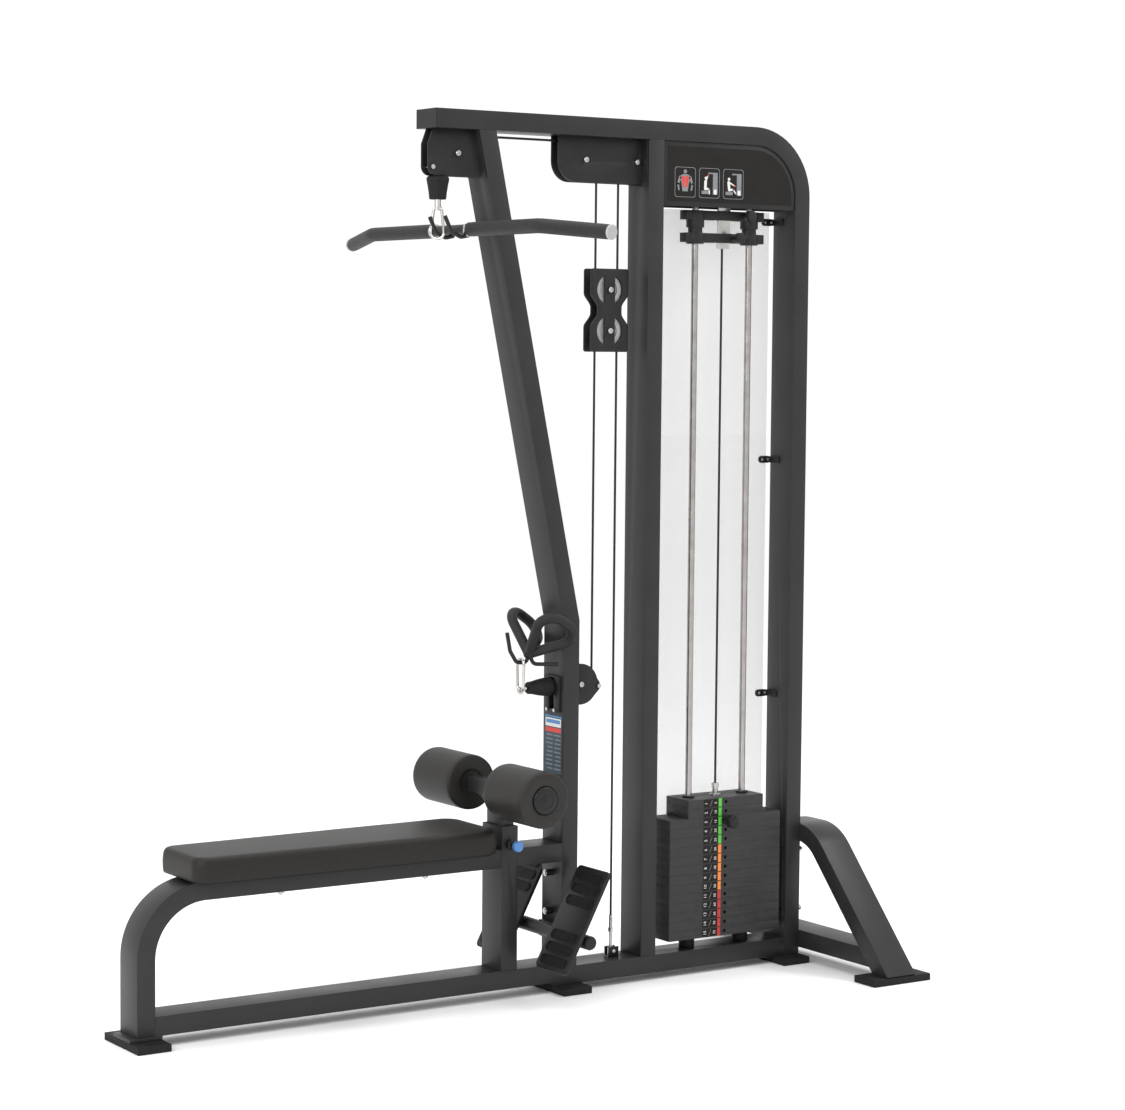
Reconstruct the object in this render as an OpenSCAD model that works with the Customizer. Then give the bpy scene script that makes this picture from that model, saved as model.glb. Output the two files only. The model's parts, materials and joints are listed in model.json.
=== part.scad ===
// Seated cable row with a lat pulldown station and one shared weight stack.
// +X runs from the bench end to the stack end, +Z is up, and the origin is on the floor
// in the middle of the footprint.

/* [Frame] */
// Width of the rectangular frame tube, across the machine
tube_w = 100; // [90:1:110]
// Thickness of the frame tube, in the plane of the machine
tube_t = 50; // [45:1:55]
// Wall of the frame tube
wall = 3; // [2:0.5:4]
// Overall height, to the top of the top beam
frame_h = 2364; // [2340:1:2400]
// Outer radius of the bends in the frame tube
bend_r = 190; // [170:1:200]
// Front face of the bench leg
leg_x = -1103; // [-1110:1:-1090]
// Front face of the bench post
bench_post_x = -38; // [-42:1:-34]
// Front face of the front post
front_x = 155; // [150:1:160]
// Front face of the middle upright
mid_x = 418; // [415:1:421]
// Front face of the rear upright
rear_x = 921; // [919:1:923]
// Front end of the top beam
beam_x = -254; // [-270:1:-250]
// Underside of the seat rail
rail_z = 359; // [350:1:370]

/* [Feet] */
// Height of the rubber feet
foot_h = 19; // [15:1:22]
// Length of the steel packer plates under the front half
packer_h = 10; // [8:1:12]
// Half of the footprint's length
half_len = 1123.5; // [1120:0.5:1130]

/* [Bench] */
// Length of the seat pad
pad_len = 889; // [860:1:900]
// Thickness of the seat pad
pad_t = 67; // [60:1:70]
// Width of the seat pad at the back
pad_back_w = 234; // [220:1:240]
// Width of the seat pad at the front
pad_front_w = 262; // [250:1:280]
// Diameter of the foam rollers
foam_d = 150; // [120:1:152]
// Length of one foam roller
foam_len = 192; // [180:1:200]

/* [Cables] */
// Diameter of the coated steel cable
cable_d = 6.5; // [6:0.1:6.6]
// Radius of the cable's centre on the large pulleys
big_r = 48; // [47:0.5:48]
// Radius of the cable's centre on the two block pulleys
small_r = 36; // [35:0.5:36]
// Distance between the two cable runs on the block
run_gap = 72; // [72:1:72]

/* [Weight stack] */
// Number of plates
plates = 15; // [15:1:15]
// Plates lifted with the selector pin where it is
lifted = 3; // [3:1:3]
// Height of one plate
plate_h = 26.15; // [26:0.05:26.2]
// Length of a plate
plate_len = 384; // [370:1:386]
// Length of the two narrow top plates
head_len = 260; // [250:1:262]
// Depth of a plate
plate_d = 106; // [100:1:110]
// Diameter of the guide rods
rod_d = 18.5; // [18:0.1:19]
// Distance between the guide rods
rod_gap = 186; // [180:1:190]

/* [Hidden] */
$fn = 48;
soft_gap = 0.35;                        // clearance of curved faces on two bodies
front_rail_z = foot_h + packer_h;
rear_rail_z = foot_h;
beam_z = frame_h - tube_t;
post_foot_z = front_rail_z + tube_t;
seat_z = rail_z + tube_t;
lean_z = 1005;                          // where the front post starts to lean
lean = 0.2125;                          // its lean, millimetres per millimetre of height
cable_r = cable_d / 2;

run_front_x = 278;                      // front cable run over the block
run_rear_x = run_front_x + run_gap;     // rear cable run, above the anchor
block_x = (run_front_x + run_rear_x) / 2;
low_x = run_front_x - big_r;            // low pulley axle
low_z = 835;
guide_x = 160;                          // guide roller in the front wall of the post
guide_r = 8;
row_z = 832;                            // height of the row cable in front of the post
guide_z = row_z - guide_r;
high_z = beam_z - 62;                   // axles of the four pulleys under the top beam
top_run_z = high_z + big_r;
high_x = -172;                          // high pulley axle
lat_x = high_x - big_r;                 // where the lat cable hangs
lat_eye_z = 2112;                       // eye under the lat cable's stop
row_eye = [48, 0, 826];                 // eye on the row cable's stop
transfer_x = run_front_x - big_r;
transfer2_x = run_rear_x + big_r;
stack_x = 703;                          // middle of the weight stack
stack_pulley_x = stack_x - big_r;
block_z = 1850;                         // middle of the floating block
block_half = 112.5;
block_step = 55.5;                      // axle offset from the middle of the block

plate_in = 14;                          // inner and outer faces of the pulley brackets
plate_out = 19;
pulley_half = 11.5;
rim = 5;                                // rim above the cable's centre line

stack_foot = 100.5;
stack_top = stack_foot + plates * plate_h;
lift_z = stack_top - lifted * plate_h;  // top of the plates that stay down
rod_top = high_z - 76;                  // the guide rods end in a plate under the top beam

roller_x = -50;                         // axis of the foam rollers
roller_z = 573;
roller_in = 87;                         // inner end of a roller
grip_w = 102;                           // row handle: half distance between the grips
grip_r = 13.5;

tilt = 28.1;                            // lean of the footplates from the vertical
footplate = [297, 150, 10];
footplate_c = [120, 152, 223];          // middle of a footplate's front surface
foot_tube_x = 136;
foot_tube_z = 167;
foot_tube_half = 215;

// ---------- general shapes ----------

// A plate or bar given by its outline in X and Z, spread over y0 to y1
module slab(y0, y1) {
    translate([0, y1, 0]) rotate([90, 0, 0]) linear_extrude(y1 - y0) children();
}

// A bar along Y at a given X and Z
module bar_y(x, z, r, y0, y1) {
    translate([x, y1, z]) rotate([90, 0, 0]) cylinder(r = r, h = y1 - y0);
}

// A bar along X at a given Y and Z
module bar_x(y, z, r, x0, x1) {
    translate([x0, y, z]) rotate([0, 90, 0]) cylinder(r = r, h = x1 - x0);
}

// A block between two corners
module block(a, b) {
    translate(a) cube(b - a);
}

// The same thing on both sides of the machine's middle plane
module both_sides() {
    children();
    mirror([0, 1, 0]) children();
}

// A hollow rectangular tube along X, open at both ends
module tube_along_x(x0, x1, z) {
    difference() {
        block([x0, -tube_w / 2, z], [x1, tube_w / 2, z + tube_t]);
        block([x0 - 1, -tube_w / 2 + wall, z + wall], [x1 + 1, tube_w / 2 - wall, z + tube_t - wall]);
    }
}

// A hollow rectangular tube standing up, open at both ends
module tube_upright(x, z0, z1) {
    difference() {
        block([x, -tube_w / 2, z0], [x + tube_t, tube_w / 2, z1]);
        block([x + wall, -tube_w / 2 + wall, z0 - 1], [x + tube_t - wall, tube_w / 2 - wall, z1 + 1]);
    }
}

// A quarter ring in the plane of the sketch, opened by sx and sy to one quadrant
module quarter_ring(r_out, r_in, sx, sy) {
    intersection() {
        difference() {
            circle(r_out, $fn = 96);
            circle(r_in, $fn = 96);
        }
        translate([sx > 0 ? 0 : -r_out, sy > 0 ? 0 : -r_out]) square(r_out);
    }
}

// A flat shape with rounded corners, l by w, corner radius r
module rounded(l, w, r) {
    square([l, w - 2 * r], center = true);
    square([l - 2 * r, w], center = true);
    for (sx = [-1, 1], sy = [-1, 1]) translate([sx * (l / 2 - r), sy * (w / 2 - r)])
        circle(r, $fn = 48);
}

// Vector helpers
function unit(v) = v / norm(v);

// Places its children with their z axis along axis_z and x axis along axis_x
module oriented(origin, axis_x, axis_z) {
    axis_y = cross(axis_z, axis_x);
    multmatrix([[axis_x[0], axis_y[0], axis_z[0], origin[0]],
                [axis_x[1], axis_y[1], axis_z[1], origin[1]],
                [axis_x[2], axis_y[2], axis_z[2], origin[2]],
                [0, 0, 0, 1]]) children();
}

// Any unit vector at right angles to v
function side_of(v) = unit(abs(v[1]) < 0.9 ? cross(v, [0, 1, 0]) : cross(v, [1, 0, 0]));

// A round rod between two points
module rod(a, b, r) {
    d = unit(b - a);
    oriented(a, side_of(d), d) cylinder(r = r, h = norm(b - a));
}

function corner_cut(a, b, c, fillet) =
    let (u = unit(a - b), v = unit(c - b)) fillet / tan(acos(u * v) / 2);

// A bent rod through a list of points, with one fillet radius at each inner point
module bent_rod(pts, r, fillet) {
    last = len(pts) - 1;
    lap = 1;
    for (i = [0 : last - 1]) {
        d = unit(pts[i + 1] - pts[i]);
        from_cut = i == 0 ? 0 : corner_cut(pts[i - 1], pts[i], pts[i + 1], fillet) - lap;
        to_cut = i == last - 1 ? 0 : corner_cut(pts[i], pts[i + 1], pts[i + 2], fillet) - lap;
        rod(pts[i] + from_cut * d, pts[i + 1] - to_cut * d, r - 0.08);
    }
    for (i = [1 : last - 1]) {
        u = unit(pts[i - 1] - pts[i]);
        v = unit(pts[i + 1] - pts[i]);
        half = acos(u * v) / 2;
        centre = pts[i] + unit(u + v) * (fillet / sin(half));
        start = unit(pts[i] + u * (fillet / tan(half)) - centre);
        oriented(centre, start, unit(cross(v, u)))
            rotate_extrude(angle = 180 - 2 * half, $fn = 96)
                translate([fillet, 0]) circle(r, $fn = 32);
    }
}

// A ring of round wire: two half turns joined by straight sides
module wire_loop(turn_low, turn_high, step, wire) {
    for (end = [[0, 180, turn_low], [step, 0, turn_high]])
        translate([0, 0, end[0]]) rotate([90, 0, 0]) rotate([0, 0, end[1]])
            rotate_extrude(angle = 180, $fn = 64) translate([end[2], 0]) circle(wire, $fn = 24);
    for (s = [-1, 1]) rod([s * turn_low, 0, -1], [s * turn_high, 0, step + 1], wire - 0.15);
}

// A groove pulley about the Y axis through its own origin
module pulley(cable_line, bore) {
    groove = cable_r + soft_gap;
    outer = cable_line + rim;
    rotate([90, 0, 0]) rotate_extrude($fn = 96) difference() {
        translate([bore, -pulley_half]) square([outer - bore, 2 * pulley_half]);
        translate([cable_line, 0]) circle(groove, $fn = 32);
        polygon([[cable_line, -groove], [outer + 1, -groove - 2.5],
                 [outer + 1, groove + 2.5], [cable_line, groove]]);
        for (s = [-1, 1]) translate([(13 + cable_line - 8) / 2, s * pulley_half])
            square([cable_line - 8 - 13, 8], center = true);
    }
}

// A bolt along Y with two low heads, holding a pulley between two bracket plates
module axle_bolt(x, z, r, half) {
    bar_y(x, z, r, -half, half);
    for (s = [-1, 1]) bar_y(x, z, 7.5, s > 0 ? half : -half - 6, s > 0 ? half + 6 : -half);
}

// ---------- frame ----------

module base_rails() {
    color([0.24, 0.24, 0.245]) {
        tube_along_x(leg_x + tube_t, front_x + tube_t, front_rail_z);
        tube_along_x(front_x + tube_t, rear_x, rear_rail_z);
        for (x = [leg_x + 25, front_x + 23])
            block([x - 45, -tube_w / 2, foot_h], [x + 45, tube_w / 2, front_rail_z]);
    }
}

// Outline of the seat rail, its bend and the bench leg, inset by i
module bench_outline(i) {
    cx = leg_x + bend_r;
    cz = seat_z - bend_r;
    translate([cx, cz]) quarter_ring(bend_r - i, bend_r - tube_t + i, -1, 1);
    translate([leg_x + i, front_rail_z - i]) square([tube_t - 2 * i, cz - front_rail_z + i]);
    translate([cx, rail_z + i]) square([bench_post_x - cx + i, tube_t - 2 * i]);
}

module bench_frame() {
    color([0.24, 0.24, 0.245]) difference() {
        slab(-tube_w / 2, tube_w / 2) bench_outline(0);
        slab(-tube_w / 2 + wall, tube_w / 2 - wall) bench_outline(wall);
    }
}

module bench_post() {
    post_top = 470;
    color([0.24, 0.24, 0.245]) difference() {
        tube_upright(bench_post_x, post_foot_z, post_top);
        bar_y(bench_post_x + 25, 421, 8, -tube_w / 2 - 1, -tube_w / 2 + wall + 1);
    }
}

module bench_link() {
    color([0.24, 0.24, 0.245]) tube_along_x(bench_post_x + tube_t, front_x, rail_z);
}

// Outline of the front post, upright and then leaning towards the bench, inset by i
module post_outline(i) {
    top = beam_z + i;
    shift = lean * (top - lean_z);
    polygon([[front_x + i, post_foot_z - i], [front_x + tube_t - i, post_foot_z - i],
             [front_x + tube_t - i, lean_z + 9],
             [front_x + tube_t + 2 - i - shift, top], [front_x + i - shift, top],
             [front_x + i, lean_z]]);
}

module front_post() {
    color([0.24, 0.24, 0.245]) difference() {
        slab(-tube_w / 2, tube_w / 2) post_outline(0);
        slab(-tube_w / 2 + wall, tube_w / 2 - wall) post_outline(wall);
        block([front_x - 1, -19, 770], [front_x + 10, 19, 860]);
        block([front_x + 40, -12.5, low_z - 62], [front_x + tube_t + 1, 12.5, low_z + 62]);
        block([front_x - 320, -8, top_run_z - 12], [front_x - 180, 8, beam_z + 1]);
        // The mitre between the upright tube and the leaning one, welded at its edge
        slab(-tube_w, tube_w) polygon([[front_x - 5, lean_z - 0.93], [front_x + tube_t + 5, lean_z + 9.87],
                                       [front_x + tube_t + 5, lean_z + 9.93], [front_x - 5, lean_z - 0.87]]);
    }
}

// Outline of the top beam, its bend and the rear upright, inset by i
module arch_outline(i) {
    cx = rear_x + tube_t - bend_r;
    cz = frame_h - bend_r;
    translate([cx, cz]) quarter_ring(bend_r - i, bend_r - tube_t + i, 1, 1);
    translate([rear_x + i, rear_rail_z - i]) square([tube_t - 2 * i, cz - rear_rail_z + i]);
    translate([beam_x - i, beam_z + i]) square([cx - beam_x + i, tube_t - 2 * i]);
}

module main_arch() {
    color([0.24, 0.24, 0.245]) difference() {
        slab(-tube_w / 2, tube_w / 2) arch_outline(0);
        slab(-tube_w / 2 + wall, tube_w / 2 - wall) arch_outline(wall);
        for (z = [152, 322]) bar_x(-29, z, 4.5, rear_x - 1, rear_x + wall + 1);
    }
}

module mid_upright() {
    color([0.24, 0.24, 0.245]) difference() {
        tube_upright(mid_x, rear_rail_z + tube_t, beam_z);
        block([mid_x - 1, -12.5, high_z - 60], [transfer2_x + big_r + rim + 3, 12.5, beam_z + 1]);
        block([mid_x - 1, -8, top_run_z - 12], [mid_x + tube_t + 1, 8, beam_z + 1]);
    }
}

// One half of the stabiliser's arch, in Y and Z, inset by i
module stabiliser_half(i) {
    flat = 32;
    top = 395;
    r_out = 160;
    fall = 47;
    cz = top - r_out;
    reach = 440;
    translate([0, top - tube_t + i]) square([flat, tube_t - 2 * i]);
    translate([flat, cz]) intersection() {
        difference() {
            circle(r_out - i, $fn = 96);
            circle(r_out - tube_t + i, $fn = 96);
        }
        polygon([[0, 0], [0, 300], [300 * sin(fall), 300 * cos(fall) + 50],
                 [300 * sin(fall), 300 * cos(fall)]]);
    }
    intersection() {
        translate([flat, cz]) rotate(-fall)
            translate([0, r_out - tube_t + i]) square([reach, tube_t - 2 * i]);
        translate([0, foot_h - i]) square([600, 600]);
    }
}

module stabiliser() {
    x0 = rear_x + tube_t;
    color([0.24, 0.24, 0.245]) translate([x0, 0, 0]) rotate([90, 0, 90]) {
        difference() {
            linear_extrude(tube_w) for (s = [0, 1]) mirror([s, 0]) stabiliser_half(0);
            translate([0, 0, wall]) linear_extrude(tube_w - 2 * wall)
                for (s = [0, 1]) mirror([s, 0]) stabiliser_half(wall);
        }
        difference() {
            linear_extrude(tube_w) polygon([[-320, 87], [320, 87], [367, 37], [-367, 37]]);
            translate([0, 0, wall]) linear_extrude(tube_w - 2 * wall)
                polygon([[-330, 84], [330, 84], [370, 40], [-370, 40]]);
            for (s = [0, 1]) mirror([s, 0]) linear_extrude(tube_w)
                stabiliser_half(0);
        }
    }
}

// One rubber foot with grooves along X in its sole
module foot(x0, x1, y0, y1) {
    pitch = 12;
    difference() {
        block([x0, y0, 0], [x1, y1, foot_h]);
        for (y = [y0 + pitch : pitch : y1 - 4])
            block([x0 - 1, y - 2, -1], [x1 + 1, y + 2, 3]);
    }
}

module foot_pads() {
    color([0.06, 0.06, 0.06]) {
        for (x = [-half_len, front_x - 22.5, rear_x - 39.5]) foot(x, x + 91, -100, 100);
        for (y = [-451, 361]) foot(rear_x + 2.5, half_len, y, y + 90);
    }
}

module end_caps() {
    color([0.05, 0.05, 0.05]) {
        block([beam_x - 2, -tube_w / 2, beam_z], [beam_x, tube_w / 2, frame_h]);
        both_sides() translate([foot_tube_x, foot_tube_half, foot_tube_z]) rotate([-90, 0, 0])
            rotate_extrude($fn = 64) polygon([[0, 0], [19, 0], [19, 3], [17, 7], [12, 9.5], [0, 10]]);
    }
}

// ---------- bench ----------

// Plan of the seat pad, with rounded corners, inset by i
module pad_plan(i) {
    back = -970;
    front = back + pad_len;
    r_back = 42;
    r_front = 55;
    hull() {
        for (s = [-1, 1]) {
            translate([back + r_back, s * (pad_back_w / 2 - r_back)]) circle(r_back - i, $fn = 64);
            translate([front - r_front, s * (pad_front_w / 2 - r_front)])
                circle(r_front - i, $fn = 64);
        }
    }
}

module seat_board() {
    color([0.1, 0.1, 0.1]) translate([0, 0, seat_z]) linear_extrude(3) pad_plan(14);
}

module seat_pad() {
    color([0.09, 0.085, 0.08]) translate([0, 0, seat_z + 3]) linear_extrude(pad_t) pad_plan(0);
}

module frame_fasteners() {
    color([0.75, 0.75, 0.76]) {
        for (x = [-692, -264], y = [-28, 28]) translate([x, y, rail_z - 7]) {
            cylinder(r = 8, h = 7);
            translate([0, 0, -4]) cylinder(r = 4, h = 5);
        }
        for (z = [218, 323]) {
            bar_x(0, z, 9, front_x - 23, front_x);
            bar_x(0, z, 6, front_x - 26, front_x - 23);
        }
        for (z = [150, 320], y = [-38]) bar_x(y, z, 7, rear_x + tube_t, rear_x + tube_t + 12);
        for (s = [-1, 1]) bar_x(s * 18, 769, 5, front_x - 12, front_x - 8);
    }
}

module footrest_tube() {
    color([0.24, 0.24, 0.245]) {
        bar_y(foot_tube_x, foot_tube_z, 19, -foot_tube_half, foot_tube_half);
        difference() {
            block([foot_tube_x, -35, foot_tube_z - 22], [front_x, 35, foot_tube_z + 22]);
            bar_y(foot_tube_x, foot_tube_z, 18, -40, 40);
        }
        both_sides() difference() {
            translate([footplate_c[0], footplate_c[1], footplate_c[2]]) rotate([0, tilt - 90, 0])
                translate([-75, -20, -36]) cube([50, 40, 36 - footplate[2]]);
            bar_y(foot_tube_x, foot_tube_z, 18, footplate_c[1] - 30, footplate_c[1] + 30);
            block([foot_tube_x, footplate_c[1] - 30, 80], [foot_tube_x + 60, footplate_c[1] + 30, 330]);
        }
    }
}

// Places a footplate part: x up the plate, y across, z out of its front face
module on_footplate() {
    both_sides() translate([footplate_c[0], -footplate_c[1], footplate_c[2]])
        rotate([0, tilt - 90, 0]) children();
}

module footplates() {
    color([0.12, 0.12, 0.12]) on_footplate()
        translate([0, 0, -footplate[2]]) linear_extrude(footplate[2]) rounded(footplate[0], footplate[1], 14);
}

module footplate_treads() {
    color([0.05, 0.05, 0.05]) on_footplate() for (x = [-122, -86, -50, 50, 86, 122])
        translate([x, 0, 0]) linear_extrude(3) rounded(26, 118, 12);
}

module pop_pin_barrel() {
    color([0.3, 0.3, 0.31]) translate([bench_post_x + 25, -tube_w / 2, 421]) rotate([90, 0, 0])
        rotate_extrude($fn = 48) polygon([[5.2, -2], [7.8, -2], [7.8, 0], [13, 0], [13, 10],
                                          [9, 14], [9, 26], [5.2, 26]]);
}

module pop_pin_plunger() {
    color([0.29, 0.5, 0.76]) translate([bench_post_x + 25, -tube_w / 2, 421]) rotate([90, 0, 0])
        rotate_extrude($fn = 48) polygon([[0, -6], [5.1, -6], [5.1, 28], [9, 30], [14, 33],
                                          [14.5, 38], [14.5, 44], [12.5, 47], [0, 48]]);
}

module roller_post() {
    color([0.7, 0.7, 0.71]) {
        difference() {
            block([bench_post_x + 6, -37, 240], [bench_post_x + tube_t - 6, 37, 545]);
            for (k = [0 : 3])
                bar_y(bench_post_x + 25, 421 - 30 * k, 5.6, -38, -26);
        }
        block([roller_x - 19, -76, roller_z - 19], [roller_x + 19, 76, roller_z + 19]);
        slab(-30, 30) polygon([[roller_x - 19, roller_z - 19], [roller_x + 19, roller_z + 19],
                               [bench_post_x + tube_t - 6, 545], [bench_post_x + tube_t - 6, 520],
                               [bench_post_x + 6, 520]]);
        bar_y(roller_x, roller_z, 12.5, -roller_in - foam_len + 6, roller_in + foam_len - 6);
    }
}

module foam_roller() {
    translate([roller_x, -roller_in, roller_z]) rotate([90, 0, 0]) rotate_extrude($fn = 96)
        polygon([[12.6, 4], [34, 4], [36, 0], [foam_d / 2 - 8, 0], [foam_d / 2 - 2, 2],
                 [foam_d / 2, 8], [foam_d / 2, foam_len - 8], [foam_d / 2 - 2, foam_len - 2],
                 [foam_d / 2 - 8, foam_len], [36, foam_len], [34, foam_len + 3], [30, foam_len + 5],
                 [0, foam_len + 6], [0, foam_len - 5.5], [12.6, foam_len - 5.5]]);
}

module foam_roller_left() {
    color([0.15, 0.145, 0.14]) mirror([0, 1, 0]) foam_roller();
}

module foam_roller_right() {
    color([0.15, 0.145, 0.14]) foam_roller();
}

// ---------- pulley brackets ----------

module high_pulley_bracket() {
    foot_x = front_x - lean * (high_z - 60 - lean_z);
    top_x = front_x - lean * (beam_z - lean_z);
    low = high_z - 60;
    color([0.2, 0.2, 0.2]) difference() {
        union() {
            both_sides() slab(plate_in, plate_out) union() {
                polygon([[beam_x + 8, beam_z], [beam_x - 7, high_z + 22], [beam_x - 7, low + 24],
                         [beam_x + 17, low + 24], [beam_x + 17, low], [foot_x - 3.9, low],
                         [top_x - 3.9, beam_z]]);
                translate([beam_x + 17, low + 24]) circle(24, $fn = 64);
            }
            slab(-45, 45) polygon([[foot_x - 4, low], [foot_x, low], [top_x, beam_z],
                                   [top_x - 4, beam_z]]);
        }
        bar_y(high_x, high_z, 5, -40, 40);
        bar_y(beam_x + 6, low + 22, 4, -40, 40);
        block([top_x - 20, -8, top_run_z - 12], [foot_x, 8, beam_z + 1]);
    }
}

module transfer_bracket() {
    low = high_z - 60;
    r = 55;
    left = 143;
    color([0.2, 0.2, 0.2]) difference() {
        union() {
            both_sides() slab(plate_in, plate_out) union() {
                translate([left, low + r]) square([mid_x - left - 4, beam_z - low - r]);
                translate([left + r, low]) square([mid_x - left - r - 4, r + 1]);
                translate([left + r, low + r]) circle(r, $fn = 96);
            }
            block([mid_x - 4.1, -45, low], [mid_x, 45, beam_z]);
        }
        for (x = [transfer_x, transfer2_x]) bar_y(x, high_z, 5, -40, 40);
        block([mid_x - 10, -12.5, low - 1], [mid_x + 1, 12.5, beam_z + 1]);
    }
}

module stack_pulley_bracket() {
    low = high_z - 40;
    hang = 30;
    color([0.72, 0.72, 0.73]) {
        difference() {
            both_sides() slab(plate_in, plate_out)
                translate([stack_pulley_x - 35, low]) square([70, beam_z - low]);
            bar_y(stack_pulley_x, high_z, 5, -40, 40);
        }
        difference() {
            union() {
                block([stack_x - 113, -36, rod_top], [stack_x + 113, 36, rod_top + 8]);
                for (x = [stack_x - 113, stack_x + 62], t = [-1, 1])
                    translate([x, t * 32 - 4, rod_top]) cube([16, 8, beam_z - rod_top]);
            }
            translate([stack_x, 0, rod_top - 1]) cylinder(r = 12, h = 10);
        }
        block([stack_x - 22, -7.5, 2052], [stack_x + 22, -5.5, 2143]);
        block([stack_x - 18, -40, 2141], [stack_x + 66, -5.5, 2143]);
        block([stack_x + 40, -40, 2141], [stack_x + 66, -38, beam_z]);
        slab(-7.5, -5.5) polygon([[stack_x - 22, 2052.5], [stack_x + 22, 2052.5],
                                  [stack_x + 20, 2026], [stack_x - 24, 2026]]);
    }
}

module low_pulley_housing() {
    back = front_x + tube_t;
    color([0.16, 0.16, 0.16]) {
        difference() {
            both_sides() slab(plate_in, plate_out) intersection() {
                union() {
                    translate([low_x, low_z]) circle(56, $fn = 96);
                    polygon([[low_x, low_z + 56], [low_x + 34, low_z + 44], [low_x + 61, low_z + 5],
                             [low_x + 67, low_z - 7], [low_x + 61, low_z - 18],
                             [low_x + 34, low_z - 44], [low_x, low_z - 56]]);
                }
                translate([back, low_z - 70]) square([120, 140]);
            }
            bar_y(low_x, low_z, 5, -40, 40);
            bar_y(low_x + 59, low_z - 7, 4, -40, 40);
        }
        difference() {
            slab(-36, 36) translate([front_x - 8, 764]) square([8, 98]);
            block([front_x - 9, -12.5, 772], [front_x + 1, 12.5, 858]);
        }
        difference() {
            both_sides() slab(13, 17) translate([front_x, guide_z - 16]) square([20, 32]);
            bar_y(guide_x, guide_z, 3, -40, 40);
        }
    }
}

module pulley_axles() {
    color([0.75, 0.75, 0.76]) {
        for (x = [high_x, transfer_x, transfer2_x, stack_pulley_x]) axle_bolt(x, high_z, 5, plate_out);
        axle_bolt(low_x, low_z, 5, plate_out);
        bar_y(guide_x, guide_z, 3, -17, 17);
        for (p = [[beam_x + 6, high_z - 38], [low_x + 59, low_z - 7]]) {
            bar_y(p[0], p[1], 4, -plate_out - 5, plate_out + 5);
            both_sides() bar_y(p[0], p[1], 6, plate_out, plate_out + 5);
        }
    }
}

module place_top(x) {
    translate([x, 0, high_z]) children();
}

module high_pulley() {
    color([0.72, 0.72, 0.72]) place_top(high_x) pulley(big_r, 5.05);
}

module front_transfer_pulley() {
    color([0.72, 0.72, 0.72]) place_top(transfer_x) pulley(big_r, 5.05);
}

module rear_transfer_pulley() {
    color([0.72, 0.72, 0.72]) place_top(transfer2_x) pulley(big_r, 5.05);
}

module stack_pulley() {
    color([0.72, 0.72, 0.72]) place_top(stack_pulley_x) pulley(big_r, 5.05);
}

module low_pulley() {
    color([0.72, 0.72, 0.72]) translate([low_x, 0, low_z]) pulley(big_r, 5.05);
}

module guide_roller() {
    groove = cable_r + soft_gap;
    color([0.72, 0.72, 0.72]) translate([guide_x, 0, guide_z]) rotate([90, 0, 0])
        rotate_extrude($fn = 64) difference() {
            translate([3.05, -11]) square([guide_r + 3 - 3.05, 22]);
            translate([guide_r, 0]) circle(groove, $fn = 32);
            polygon([[guide_r, -groove], [guide_r + 5, -groove - 1],
                     [guide_r + 5, groove + 1], [guide_r, groove]]);
        }
}

// ---------- floating block ----------

// Half width of the block's plates at a height z from its middle
function block_width(z) =
    let (t = min(1, max(0, (abs(z) - 8) / 38)), c = max(0, abs(z) - (block_half - 7)))
    39 + 22 * t * t * (3 - 2 * t) - 7 + sqrt(49 - c * c);

module block_plates() {
    heights = [for (k = [-32 : 32]) k == 32 || k == -32 ? sign(k) * block_half
               : block_half * sin(k * 90 / 32)];
    color([0.2, 0.2, 0.2]) translate([block_x, 0, block_z]) difference() {
        both_sides() slab(plate_in, plate_out) difference() {
            polygon(concat([for (z = heights) [block_width(z), z]],
                           [for (z = heights) [-block_width(-z), -z]]));
            for (s = [-1, 1]) translate([0, s * block_step]) difference() {
                circle(41, $fn = 96);
                translate([-17, -50]) square([34, 100]);
                for (t = [-1, 1]) translate([-50, t > 0 ? 39 : -50]) square([100, 11]);
            }
        }
        for (s = [-1, 1]) bar_y(0, s * block_step, 5, -40, 40);
    }
}

module block_bolts() {
    color([0.75, 0.75, 0.76]) for (s = [-1, 1])
        axle_bolt(block_x, block_z + s * block_step, 5, plate_out);
}

module block_upper_pulley() {
    color([0.72, 0.72, 0.72]) translate([block_x, 0, block_z + block_step]) pulley(small_r, 5.05);
}

module block_lower_pulley() {
    color([0.72, 0.72, 0.72]) translate([block_x, 0, block_z - block_step]) pulley(small_r, 5.05);
}

// ---------- cables ----------

// A turn of cable about (x, z), from angle a0 to a1 measured from +X towards +Z
module cable_turn(x, z, r, a0, a1) {
    translate([x, 0, z]) rotate([90, 0, 0]) rotate([0, 0, a0])
        rotate_extrude(angle = a1 - a0, $fn = 96) translate([r, 0]) circle(cable_r, $fn = 24);
}

// A straight run of cable in the middle plane
module cable_run(x0, z0, x1, z1) {
    rod([x0, 0, z0], [x1, 0, z1], cable_r);
}

// A straight run whose two ends are let into turns of the same cable
module joined_run(x0, z0, x1, z1) {
    lap = 0.8 * unit([x1 - x0, 0, z1 - z0]);
    rod([x0, 0, z0] - lap, [x1, 0, z1] + lap, cable_r - 0.06);
}

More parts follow.
